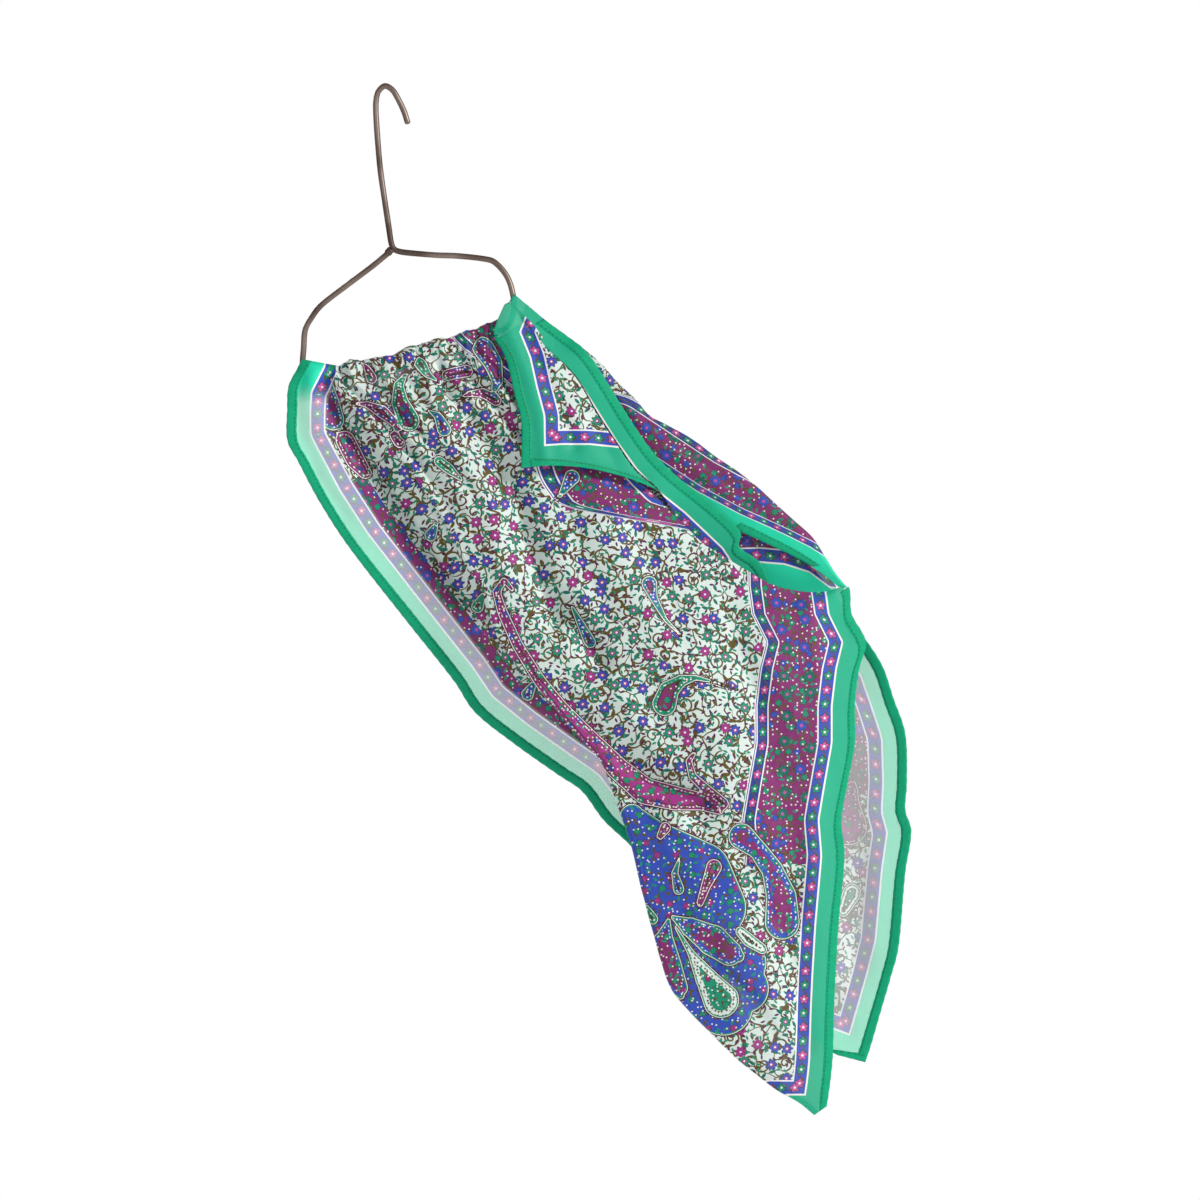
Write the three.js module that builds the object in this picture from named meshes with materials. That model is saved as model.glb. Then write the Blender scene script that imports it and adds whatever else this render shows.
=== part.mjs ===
// Silk square scarf draped over a bent-wire hanger, in millimetres, +Z up, seen from -Y.
// The origin is under the crown of the hook, where the hanger rests on a rail.
import * as THREE from 'three';

// Driving dimensions
const WIRE_DIAMETER = 4;
const CLOTH_WALL = 1.2;
const HEM_WALL = 2;
const HEM_WIDTH = 7;
const SEAM_GAP = 0.4;
const BAR_LEFT = [-46, -199];
const BAR_RIGHT = [76, -165];
const GATHER_LEFT = -36;
const GATHER_RIGHT = 76;
const GATHER_SKIRT = 8.6;
const GATHER_BACK_SKIRT = 6.5;
const GATHER_COUNT = 7;
const GATHER_HEIGHT = 1.7;
const RETURN_WIDTH = 46;
const SHOULDER_RETURN = 13;
const WELD_RADIUS = 2.1;
const WIRE_SIDES = 5;

const HEM_SEAM = HEM_WIDTH + SEAM_GAP;

// Each fall is a table of sections read from the bar down. A row holds the left end (x, z),
// the right end (x, z), the depth y at the left, the middle and the right, and the lift of
// the middle above the straight line between the two ends.
const FRONT_SECTIONS = [
  [-36, -203.8, 76, -172.6, -10, -9.5, -8, 0],
  [-28, -211, 86, -184, -12.5, -11.5, -8.5, 0],
  [-12, -228, 102, -203, -13.5, -14, -9, 0],
  [5, -246, 118, -222, -14, -16, -9, 0],
  [20, -264.5, 148, -247, -16, -19, -9.5, 0],
  [39, -293, 179, -273, -18, -23, -10.5, 0],
  [47, -308, 196, -290, -19, -25, -15, 0],
  [53, -322, 214, -308, -20, -27, -16, 0],
  [64, -338, 226, -316, -21, -29, -17.5, 0],
  [71, -361, 247.5, -329, -22, -31, -19, 0],
  [81, -381, 262, -337, -23, -32, -20, 0],
  [105, -409, 284, -342, -24, -33, -20, 0],
  [128, -437, 300, -341.5, -24, -33, -20, 0],
  [145.5, -456, 313.5, -338.5, -24, -33, -19, 0],
  [155, -480, 316, -357, -24, -33, -18, 0],
  [162, -500, 325.5, -376, -24, -33, -18, 0],
  [167, -515, 321, -394, -24, -33, -19, 0],
  [173, -541, 318, -419, -24, -33, -20, 0],
  [176, -552, 318, -444, -24, -33, -20, 0],
  [179, -564, 313, -472, -24, -32, -20, 0],
  [182.5, -576, 309, -496, -24, -32, -20, 0],
  [186, -589, 311, -520, -24, -31, -20, 0],
  [194, -611, 307, -566, -23, -30, -20, 0],
  [208, -628, 305, -600, -23, -29, -20, 0],
  [223, -643, 304, -622, -22, -28, -20, 0],
  [237, -657, 303.5, -640, -22, -26, -20, 0],
  [252, -669, 303, -657, -21, -25, -20, 0],
  [265, -679, 302, -668, -21, -23, -20, 0],
  [280, -687.5, 300.5, -680, -20, -21, -20, 0],
  [290.5, -696, 299, -690, -20, -20, -20, 0],
];

const BACK_SECTIONS = [
  [-36, -204, 90, -160, 6, 9, 7.6, -10],
  [-24, -218, 101, -166, 3.5, 8, 4.4, -6],
  [-4, -234, 116, -177, 1, 8, 4.7, -3],
  [18, -246, 138, -194, 2.5, 9, 5.1, 0],
  [46, -270, 162.4, -219.5, 4, 11, 5.5, 0],
  [64.5, -293, 184.5, -237.5, 7, 14, 5.6, 0],
  [78.5, -322, 217.5, -259, 11, 18, 5.6, 0],
  [96.5, -361, 247, -280.5, 15, 22, 5.6, 0],
  [130.5, -409, 270.5, -302, 18, 25, 5.4, 0],
  [150, -434, 289.5, -324.5, 19, 27, 4.8, 0],
  [165.5, -450, 309, -349, 20, 28, 7, 0],
  [172, -466, 323, -369, 20, 28, 11, 0],
  [178, -480, 338, -392, 20, 28, 13, 0],
  [184, -492, 346, -415, 20, 28, 14, 0],
  [187, -502, 354, -439, 20, 28, 15, 0],
  [187, -510, 355, -472, 20, 28, 15, 0],
  [173, -524, 354, -491, 19, 27, 15, 0],
  [178, -533, 358, -505, 19, 27, 15, 0],
  [187, -549, 354, -533, 19, 26, 15, 0],
  [205, -580, 349.5, -583, 18, 25, 15, 0],
  [243, -612, 344, -605, 17, 22, 15, 0],
  [266, -633, 337, -629, 16, 19, 15, 0],
  [290, -649, 330, -653, 15, 16, 15, 0],
  [309, -658.5, 326.5, -663, 15, 15, 15, 0],
];

const LEFT_SECTIONS = [
  [-57, -184, -37.3, -187.5, -4.4, -4.6, -2.4, 0],
  [-60, -190, -37.3, -193, -5.4, -7, -5, 0],
  [-66, -202, -37.3, -202, -5.4, -7, -5, 0],
  [-67, -218, -27, -214, -5, -6.5, -4, 0],
  [-67, -239, -5, -233.5, -3, -4.5, -1.4, 0],
  [-60, -253, 17, -246.8, 0, -1, 2, 0],
  [-45, -281.3, 45, -270.7, 3, 1, 3.5, 0],
  [-25.4, -311.6, 63.6, -293.7, 6, 4, 6.6, 0],
  [14, -362.4, 77.6, -322.7, 10, 8, 10.6, 0],
  [46, -403, 95.6, -361.7, 13, 12, 14.7, 0],
  [60, -424, 111.5, -386.4, 14, 14, 16.5, 0],
  [86, -445, 129.3, -409.8, 15, 16, 17.8, 0],
  [117, -467, 148.7, -434.9, 16, 17, 18.9, 0],
  [133, -478, 164.1, -451.2, 17, 18, 19.9, 0],
  [148, -498, 176.4, -480.8, 18, 19, 20, 0],
  [166, -515, 185.6, -502.4, 19, 19.5, 20, 0],
  [171.2, -521.6, 185.2, -508.2, 19, 19.5, 20, 0],
];

const FLAP_SECTIONS = [
  [80.5, -147, 83.3, -145.3, -5.4, -5.4, -5.2, 0],
  [75, -160, 97.2, -161.5, -9, -9.5, -8, 0],
  [73.5, -168, 109.2, -177.5, -10.5, -12, -10.5, 0],
  [79, -178, 121.2, -188.5, -13, -14, -11.5, 0],
  [83, -188, 130.2, -198.5, -15, -15, -12, 0],
  [87, -206, 142.2, -219.5, -18, -17, -12.5, 0],
  [92, -225, 155.2, -239.5, -21, -19, -13.2, 0],
  [92.5, -244, 169.2, -259.5, -24, -22, -14.2, 2],
  [92, -258.5, 183.9, -272.7, -26, -24, -15.2, 7],
];

const SIDE_SECTIONS = [
  [84, -144.5, 87, -139.5, -5, -4.8, -4.5, 0],
  [98, -161, 108, -157, -8, -5.4, -3.9, 0],
  [110, -177, 123, -168, -10.5, -7, -4.5, 0],
  [122, -188, 135, -177.5, -11.5, -10, -8, 0],
  [131, -198, 145, -191, -12, -10.5, -8.5, 0],
  [143, -219, 158, -212, -12.5, -11, -9, 0],
  [156, -239, 170, -231, -13.2, -12, -10, 0],
  [170, -259, 183, -249, -14.2, -12.5, -10.5, 0],
  [185, -272.5, 197, -263, -15, -13.5, -11.5, 0],
  [197, -292, 213.5, -276, -11, -11, -10.5, 0],
  [206, -308, 229, -289, -9, -10, -10, 0],
  [212, -324, 241, -302, -8.5, -9, -9.5, 0],
  [216, -334, 240, -311, -8.5, -9, -9, 0],
  [226, -346, 254, -322, -8, -9, -9, 0],
  [234, -356, 260, -335, -8, -9, -9, 0],
  [240, -364, 262, -350, -8, -9, -9, 0],
];

const TUCK_SECTIONS = [
  [236, -300, 232, -318, 0, 0, 0, 0],
  [256, -301, 252, -338, 0, 1, 1, 0],
  [276, -309, 276, -352, 0, 1, 1, 0],
  [294, -324, 294, -352, 0, 0.5, 0, 0],
  [306, -338, 305, -352, 0, 0, 0, 0],
];

// The shoulder turns forward over a fold line. A row holds the fold line (x, z), the front
// end (x, z) and the radius of the fold.
const SHOULDER_SECTIONS = [
  [95, -146, 92, -156, 2.2],
  [108, -157, 102, -168, 2.6],
  [123, -168, 114, -180, 3],
  [145.5, -186, 133, -200, 3.4],
  [156, -198, 141, -212, 3.6],
  [170, -211.5, 150, -225, 4],
  [179, -222, 158, -236, 4],
  [190, -228, 166, -246, 4],
  [208, -238, 178, -259, 4],
  [224, -250, 190, -271, 4],
  [239, -260, 206, -283, 4],
  [254, -272, 224, -294, 4],
  [262, -279.5, 236, -299, 4],
  [278, -294, 254, -307, 4],
  [290, -305, 268, -313.5, 3.5],
  [299, -319, 283, -321, 3],
  [306, -330, 297, -330, 2.2],
  [313.5, -339, 307.5, -338.5, 1.6],
];

// Long soft folds: the course of each (x, z pairs), half width and depth, + away from the viewer.
const FRONT_FOLDS = [
  { course: [[57, -232], [77, -254], [88, -275], [94.5, -303], [105, -330], [115, -361]], width: 11, depth: 5 },
  { course: [[30, -212], [60, -262], [72, -300], [82, -340]], width: 9, depth: -3 },
  { course: [[118, -350], [135, -372], [146, -390]], width: 10, depth: 5 },
  { course: [[118, -415], [173, -463], [213, -483]], width: 12, depth: 5 },
  { course: [[150, -300], [175, -350], [205, -400], [228, -450]], width: 16, depth: -4 },
  { course: [[190, -500], [222, -545], [250, -600], [270, -640]], width: 13, depth: -4 },
  { course: [[236, -380], [262, -430], [270, -490], [276, -560]], width: 12, depth: 4 },
];
const LEFT_FOLDS = [
  { course: [[-48, -194], [-50, -213], [-46, -232], [-33, -252], [-24, -262]], width: 6, depth: -2.4 },
  { course: [[-16, -232], [-4, -252], [14, -280], [30, -310], [54, -345]], width: 8, depth: 3 },
];
const BACK_FOLDS = [
  { course: [[60, -210], [110, -260], [150, -330], [190, -400]], width: 14, depth: 5 },
  { course: [[120, -215], [180, -280], [225, -350], [250, -430], [262, -520]], width: 15, depth: -5 },
  { course: [[205, -300], [262, -370], [300, -440], [318, -520], [322, -590]], width: 12, depth: 5 },
];

const HOOK_LINE = [
  [15, -24], [12.5, -16], [9.1, -8.6], [4.6, -1], [-0.7, 2], [-5.2, -1.6], [-6.8, -8],
  [-6.8, -18], [-5.6, -36], [-4, -54], [-1.2, -74], [2, -95], [3.6, -105],
];
const RIGHT_ARM_LINE = [
  [3.85, -106.3], [5.6, -109], [9.5, -110.6], [16, -111.5], [34, -113], [49, -113.6], [67, -115.6],
  [74, -118], [81.6, -126.5], [85.7, -137], [87, -149], [84.5, -158.5], [78, -164.3],
];
const LEFT_ARM_LINE = [
  [-48, -199.5], [-53, -198], [-56.6, -190], [-56, -176], [-55, -164], [-51, -156], [-44, -147],
  [-26, -133], [-10, -121], [-0.6, -113.3],
];
const WELD_CENTRE = [1.6, -111.3];
const CLOTH_TOP_LINE = [
  [-36, -188], [-24, -184], [-8, -182.5], [5, -180], [14, -175], [33, -170], [39, -169],
  [53, -165], [72, -158], [76, -156],
];

// Straight blend of two numbers.
function blend(a, b, t) {
  return a + (b - a) * t;
}

// 0 below a, 1 above b, with a soft slope between.
function ramp(a, b, value) {
  const t = Math.min(1, Math.max(0, (value - a) / (b - a)));
  return t * t * (3 - 2 * t);
}

// Distance from the first section to each section, measured at the middles of the sections.
function runs(sections) {
  const total = [0];
  for (let i = 1; i < sections.length; i += 1) {
    const a = sections[i - 1];
    const b = sections[i];
    const step = Math.hypot(a[0] + a[2] - b[0] - b[2], a[1] + a[3] - b[1] - b[3]) / 2;
    total.push(total[i - 1] + step);
  }
  return total;
}

// The section at a share t of the way down, smooth through every row of the table.
function sectionAt(sections, t) {
  const total = runs(sections);
  const last = sections.length - 1;
  const target = Math.min(1, Math.max(0, t)) * total[last];
  let i = 0;
  while (i < last - 1 && total[i + 1] < target) {
    i += 1;
  }
  const span = total[i + 1] - total[i];
  const f = (target - total[i]) / span;
  const h00 = 2 * f ** 3 - 3 * f ** 2 + 1;
  const h10 = f ** 3 - 2 * f ** 2 + f;
  const h01 = 3 * f ** 2 - 2 * f ** 3;
  const h11 = f ** 3 - f ** 2;
  return sections[i].map((value, column) => {
    const slopeAt = (k) => {
      const lo = Math.max(0, k - 1);
      const hi = Math.min(last, k + 1);
      return (sections[hi][column] - sections[lo][column]) / (total[hi] - total[lo]);
    };
    return h00 * value + h10 * span * slopeAt(i)
      + h01 * sections[i + 1][column] + h11 * span * slopeAt(i + 1);
  });
}

// Share of the way down at which a row of the table lies.
function shareOfRow(sections, row) {
  const total = runs(sections);
  const i = Math.min(Math.floor(row), sections.length - 2);
  return blend(total[i], total[i + 1], row - i) / total[total.length - 1];
}

// Width of a section between its two ends.
function widthOf(row) {
  return Math.hypot(row[2] - row[0], row[3] - row[1]);
}

// Depth that the long folds add at a place on the cloth.
function foldDepth(folds, x, z) {
  let depth = 0;
  for (const fold of folds) {
    let nearest = Infinity;
    for (let i = 1; i < fold.course.length; i += 1) {
      const [ax, az] = fold.course[i - 1];
      const [bx, bz] = fold.course[i];
      const length = (bx - ax) ** 2 + (bz - az) ** 2;
      const f = Math.min(1, Math.max(0, ((x - ax) * (bx - ax) + (z - az) * (bz - az)) / length));
      nearest = Math.min(nearest, Math.hypot(x - blend(ax, bx, f), z - blend(az, bz, f)));
    }
    depth += fold.depth * Math.exp(-((nearest / fold.width) ** 2));
  }
  return depth;
}

// A place on a fall, u across from left to right and t down from the first section.
function onFall(sections, folds, u, t) {
  const [xl, zl, xr, zr, yl, ym, yr, lift] = sectionAt(sections, t);
  const bulge = 4 * u * (1 - u);
  const x = blend(xl, xr, u);
  const z = blend(zl, zr, u) + lift * bulge;
  const y = blend(yl, yr, u) + (ym - (yl + yr) / 2) * bulge;
  const edge = Math.min(1, 8 * Math.min(u, 1 - u)) * ramp(0, 0.02, t) * ramp(0, 0.02, 1 - t);
  return new THREE.Vector3(x, y + edge * foldDepth(folds, x, z), z);
}

// Height of one bar gather at a share u along the bar.
function gather(u) {
  const phase = 2 * Math.PI * (GATHER_COUNT * u + 0.35 * Math.sin(5 * u + 0.6));
  return GATHER_HEIGHT * (0.62 + 0.38 * Math.sin(11 * u)) * Math.sin(phase) * ramp(0, 0.05, u) * ramp(0, 0.05, 1 - u);
}

// A place on the front fall: u below 0 goes round the left fold and back behind.
function onFront(u, t) {
  const row = sectionAt(FRONT_SECTIONS, t);
  const width = widthOf(row);
  const radius = blend(1.6, 4.5, ramp(0.03, 0.4, t)) * blend(1, 0.36, ramp(0.86, 1, t));
  const start = radius / width;
  const front = onFall(FRONT_SECTIONS, FRONT_FOLDS, blend(start, 1, Math.max(0, u)), t);
  front.y -= gather(Math.max(0, u)) * (1 + ramp(0, 0.05, t)) * (1 - ramp(0.05, 0.24, t));
  if (u >= 0) {
    return front;
  }
  const turn = Math.min(1, -u * 2) * Math.PI;
  const back = Math.max(0, -u * 2 - 1);
  const reach = RETURN_WIDTH * ramp(-0.06, 0.3, t) * blend(1, 0.05, ramp(0.7, 1, t));
  const acrossX = (row[2] - row[0]) / width;
  const acrossZ = (row[3] - row[1]) / width;
  const along = -radius * Math.sin(turn) + back * reach;
  return new THREE.Vector3(
    front.x + acrossX * along,
    front.y + radius * (1 - Math.cos(turn)) - 0.04 * back * reach,
    front.z + acrossZ * along,
  );
}

// Height of a line of (x, z) points at x.
function lineHeight(line, x) {
  let i = 0;
  while (i < line.length - 2 && line[i + 1][0] < x) {
    i += 1;
  }
  const f = (x - line[i][0]) / (line[i + 1][0] - line[i][0]);
  return blend(line[i][1], line[i + 1][1], f);
}

// A place on the stretch gathered over the bar: u along the bar, t from the front skirt,
// over the top, to the back skirt.
function onGather(u, t) {
  const x = blend(GATHER_LEFT, GATHER_RIGHT, u);
  const bar = blend(BAR_LEFT[1], BAR_RIGHT[1], (x - BAR_LEFT[0]) / (BAR_RIGHT[0] - BAR_LEFT[0]));
  const top = lineHeight(CLOTH_TOP_LINE, x) - CLOTH_WALL / 2 - 0.5 + 0.5 * gather(u);
  const turn = Math.PI * Math.min(1, Math.max(0, (t - 0.22) / 0.56));
  const leg = Math.max(0, 0.22 - t, t - 0.78) / 0.22;
  const side = -Math.cos(turn);
  const depth = side < 0 ? 5 + 1.4 * leg + gather(u) : 4.8 + leg;
  const skirt = side < 0 ? blend(GATHER_BACK_SKIRT, GATHER_SKIRT, ramp(0.05, 0.12, u)) : GATHER_BACK_SKIRT;
  const height = (top - bar) * Math.sin(turn) - skirt * leg;
  return new THREE.Vector3(x, side * depth, bar + height);
}

// A place on the shoulder: u from 0 at the back end, over the fold, to 1 at the front end.
function onShoulder(u, t) {
  const [xs, zs, xe, ze, radius] = sectionAt(SHOULDER_SECTIONS, t);
  const width = Math.hypot(xe - xs, ze - zs);
  const dx = (xe - xs) / width;
  const dz = (ze - zs) / width;
  const back = Math.min(SHOULDER_RETURN, width);
  let along = 0;
  let depth = 0;
  if (u < 0.2) {
    along = blend(back, radius, u / 0.2);
    depth = radius;
  } else if (u < 0.5) {
    const turn = Math.PI * (u - 0.2) / 0.3;
    along = radius * (1 - Math.sin(turn));
    depth = radius * Math.cos(turn);
  } else {
    along = blend(radius, width, (u - 0.5) / 0.5);
    depth = -radius;
  }
  return new THREE.Vector3(xs + dx * along, depth, zs + dz * along);
}

// Even shares from a to b.
function shares(a, b, count) {
  return Array.from({ length: count + 1 }, (_, i) => blend(a, b, i / count));
}

// A closed wall of cloth: the grid of places moved half the thickness each way along its normals.
function wall(place, across, down, thickness) {
  const nu = across.length;
  const nv = down.length;
  const grid = down.map((t) => across.map((u) => place(u, t)));
  const normalAt = (i, j) => {
    const du = grid[j][Math.min(nu - 1, i + 1)].clone().sub(grid[j][Math.max(0, i - 1)]);
    const dv = grid[Math.min(nv - 1, j + 1)][i].clone().sub(grid[Math.max(0, j - 1)][i]);
    return du.cross(dv).normalize();
  };
  const positions = [];
  for (const side of [0.5, -0.5]) {
    for (let j = 0; j < nv; j += 1) {
      for (let i = 0; i < nu; i += 1) {
        const p = grid[j][i].clone().addScaledVector(normalAt(i, j), side * thickness);
        positions.push(p.x, p.y, p.z);
      }
    }
  }
  const index = [];
  const quad = (a, b, c, d) => index.push(a, b, c, a, c, d);
  const at = (i, j, layer) => layer * nu * nv + j * nu + i;
  for (let j = 0; j < nv - 1; j += 1) {
    for (let i = 0; i < nu - 1; i += 1) {
      quad(at(i, j, 0), at(i + 1, j, 0), at(i + 1, j + 1, 0), at(i, j + 1, 0));
      quad(at(i, j, 1), at(i, j + 1, 1), at(i + 1, j + 1, 1), at(i + 1, j, 1));
    }
  }
  for (let i = 0; i < nu - 1; i += 1) {
    quad(at(i, 0, 0), at(i, 0, 1), at(i + 1, 0, 1), at(i + 1, 0, 0));
    quad(at(i, nv - 1, 0), at(i + 1, nv - 1, 0), at(i + 1, nv - 1, 1), at(i, nv - 1, 1));
  }
  for (let j = 0; j < nv - 1; j += 1) {
    quad(at(0, j, 0), at(0, j + 1, 0), at(0, j + 1, 1), at(0, j, 1));
    quad(at(nu - 1, j, 0), at(nu - 1, j, 1), at(nu - 1, j + 1, 1), at(nu - 1, j + 1, 0));
  }
  const geometry = new THREE.BufferGeometry();
  geometry.setAttribute('position', new THREE.Float32BufferAttribute(positions, 3));
  geometry.setIndex(facingOut(positions, index));
  geometry.computeVertexNormals();
  return geometry;
}

// The same triangles, turned over if they enclose a negative volume.
function facingOut(positions, index) {
  const corner = (k) => new THREE.Vector3(...positions.slice(3 * k, 3 * k + 3));
  let volume = 0;
  for (let k = 0; k < index.length; k += 3) {
    volume += corner(index[k]).dot(corner(index[k + 1]).cross(corner(index[k + 2])));
  }
  if (volume > 0) {
    return index;
  }
  return index.map((_, k) => index[3 * Math.floor(k / 3) + (2 - (k % 3))]);
}

// A round wire along a line of (x, z) points in the plane y = 0.
function wire(line, steps, sides) {
  const path = new THREE.CatmullRomCurve3(
    line.map(([x, z]) => new THREE.Vector3(x, 0, z)),
    false,
    'centripetal',
  );
  const round = new THREE.Shape();
  round.absarc(0, 0, WIRE_DIAMETER / 2, 0, 2 * Math.PI, false);
  return new THREE.ExtrudeGeometry(round, {
    steps,
    curveSegments: sides,
    bevelEnabled: false,
    extrudePath: path,
  });
}

// Share of a section's width that a length in millimetres takes up.
function share(sections, length, t) {
  return Math.min(0.98, length / widthOf(sectionAt(sections, t)));
}

// Shares of the way down for the rows of each fall. A panel and its hems use the same rows.
const FRONT_DOWN = [...shares(0, 0.2, 7), ...shares(0.2, 1, 24).slice(1)];
const BACK_DOWN = shares(0, 1, 25);
const LEFT_DOWN = shares(0, 1, 22);
const SIDE_DOWN = shares(0, 1, 22);
const FLAP_DOWN = shares(0, 1, 14);
const SHOULDER_DOWN = shares(0, 1, 24);

// The row of a list nearest to a row of a table.
function nearest(down, sections, row) {
  const target = shareOfRow(sections, row);
  return down.reduce((best, t) => (Math.abs(t - target) < Math.abs(best - target) ? t : best));
}

const HEM_TOP_FRONT = nearest(FRONT_DOWN, FRONT_SECTIONS, 13);
const HEM_TOP_BACK = nearest(BACK_DOWN, BACK_SECTIONS, 10.3);
const HEM_TOP_UNDER = nearest(BACK_DOWN, BACK_SECTIONS, 16);
const HEM_TOP_SHOULDER = nearest(SHOULDER_DOWN, SHOULDER_SECTIONS, 12);
const HEM_END_SHOULDER = nearest(SHOULDER_DOWN, SHOULDER_SECTIONS, 15.4);
const HEM_TOP_FLAP = nearest(FLAP_DOWN, FLAP_SECTIONS, 2);
const HEM_TOP_SIDE = nearest(SIDE_DOWN, SIDE_SECTIONS, 1);

// The rows of a list from one share to another.
function between(down, from, to) {
  return down.filter((t) => t >= from && t <= to);
}

// A band of hem along the left or the right edge of a fall.
function edgeHem(place, sections, side, down) {
  const across = (u, t) => {
    const part = share(sections, HEM_WIDTH, t);
    return place(side === 'left' ? part * u : 1 - part * (1 - u), t);
  };
  return wall(across, [0, 1], down, HEM_WALL);
}

// A panel that leaves room for the hems beside it.
function panel(place, sections, room, columns, down) {
  const across = (u, t) => {
    const left = share(sections, room.left(t), t);
    const right = share(sections, room.right(t), t);
    return place(blend(left, 1 - right, u), t);
  };
  return wall(across, shares(0, 1, columns), down, CLOTH_WALL);
}

// Room for a hem between two rows of the fall.
function roomFor(from, to) {
  return (t) => (t >= from && t <= to ? HEM_SEAM : 0);
}

const onBack = (u, t) => onFall(BACK_SECTIONS, BACK_FOLDS, u, t);
const onLeft = (u, t) => onFall(LEFT_SECTIONS, LEFT_FOLDS, u, t);
const onFlap = (u, t) => onFall(FLAP_SECTIONS, [], u, t);
const onSide = (u, t) => onFall(SIDE_SECTIONS, [], u, t);
const onTuck = (u, t) => onFall(TUCK_SECTIONS, [], u, t);
const noRoom = roomFor(2, 2);

// The front fall with its turned left side and room for the right hem.
function frontFall() {
  const across = [
    ...shares(-1, -0.5, 2),
    ...shares(-0.5, 0, 5).slice(1),
    ...shares(0, 1, 24).slice(1),
  ];
  const room = roomFor(HEM_TOP_FRONT, 1);
  const place = (u, t) => onFront(u > 0 ? u * (1 - share(FRONT_SECTIONS, room(t), t)) : u, t);
  return wall(place, across, FRONT_DOWN, CLOTH_WALL);
}

// The part of a shoulder's front side that a length takes up.
function shoulderShare(length, t) {
  const row = sectionAt(SHOULDER_SECTIONS, t);
  return Math.min(0.49, length / (2 * (Math.hypot(row[2] - row[0], row[3] - row[1]) - row[4])));
}

// The shoulder with room for the hem along its front end.
function shoulderTurn() {
  const across = [0, 0.2, 0.275, 0.35, 0.425, 0.5, 0.66, 0.83, 1];
  const room = roomFor(HEM_TOP_SHOULDER, HEM_END_SHOULDER);
  const place = (u, t) => {
    const part = shoulderShare(room(t), t);
    return onShoulder(u > 0.5 ? 0.5 + (u - 0.5) * (1 - 2 * part) : u, t);
  };
  return wall(place, across, SHOULDER_DOWN, CLOTH_WALL);
}

// The hem along the front end of the shoulder.
function shoulderHem() {
  const place = (u, t) => onShoulder(1 - shoulderShare(HEM_WIDTH, t) * (1 - u), t);
  return wall(place, [0, 1], between(SHOULDER_DOWN, HEM_TOP_SHOULDER, HEM_END_SHOULDER), HEM_WALL);
}

// Height of the flap between its first and last sections, for the width of its lower hem.
const FLAP_RUN = runs(FLAP_SECTIONS).at(-1);
const FLAP_COLUMNS = 10;

// The corner flap with room for its side and lower hems.
function cornerFlap() {
  const room = roomFor(HEM_TOP_FLAP, 1);
  const place = (u, t) => onFlap(blend(share(FLAP_SECTIONS, room(t), t), 1, u), t);
  const end = 1 - HEM_SEAM / FLAP_RUN;
  return wall(place, shares(0, 1, FLAP_COLUMNS), [...between(FLAP_DOWN, 0, end - 0.01), end], CLOTH_WALL);
}

// The lower hem of the flap, beside its side hem.
function flapBottomHem() {
  const start = 1 - HEM_WIDTH / FLAP_RUN;
  const place = (t, u) => onFlap(blend(share(FLAP_SECTIONS, HEM_SEAM, t), 1, u), t);
  return wall(place, [start, 1], shares(0, 1, FLAP_COLUMNS), HEM_WALL);
}

function weldBead() {
  const bead = new THREE.SphereGeometry(WELD_RADIUS, 12, 8);
  bead.translate(WELD_CENTRE[0], 0, WELD_CENTRE[1]);
  return bead;
}

const FINISHES = {
  silk: { color: 0xb9d2c6, roughness: 0.6, metalness: 0 },
  hem: { color: 0x10a67a, roughness: 0.6, metalness: 0 },
  wire: { color: 0x5b4a43, roughness: 0.45, metalness: 0.7 },
};

const scarf = new THREE.Group();

// Adds one named solid with its own finish.
function add(name, finish, geometry) {
  const solid = new THREE.Mesh(geometry, new THREE.MeshStandardMaterial(FINISHES[finish]));
  solid.name = name;
  scarf.add(solid);
}

// Hanger
add('hook_shaft', 'wire', wire(HOOK_LINE, 32, WIRE_SIDES));
add('right_arm', 'wire', wire(RIGHT_ARM_LINE, 24, WIRE_SIDES));
add('bottom_bar', 'wire', wire([[76.3, -164.9], [15, -182], [-46.1, -199]], 4, WIRE_SIDES));
add('left_arm', 'wire', wire(LEFT_ARM_LINE, 18, WIRE_SIDES));
add('neck_weld', 'wire', weldBead());

// Cloth
add('bar_gather', 'silk', wall(onGather, shares(0, 1, 42), shares(0, 1, 10), CLOTH_WALL));
add('front_fall', 'silk', frontFall());
add('back_fall', 'silk', panel(
  onBack,
  BACK_SECTIONS,
  { left: roomFor(HEM_TOP_UNDER, 1), right: roomFor(HEM_TOP_BACK, 1) },
  16,
  BACK_DOWN,
));
add('left_turn', 'silk', panel(onLeft, LEFT_SECTIONS, { left: roomFor(0, 1), right: noRoom }, 8, LEFT_DOWN));
add('corner_flap', 'silk', cornerFlap());
add('side_border', 'silk', panel(
  onSide,
  SIDE_SECTIONS,
  { left: noRoom, right: roomFor(HEM_TOP_SIDE, 1) },
  4,
  SIDE_DOWN,
));
add('shoulder_turn', 'silk', shoulderTurn());
add('border_tuck', 'silk', wall(onTuck, shares(0, 1, 4), shares(0, 1, 7), CLOTH_WALL));

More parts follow.
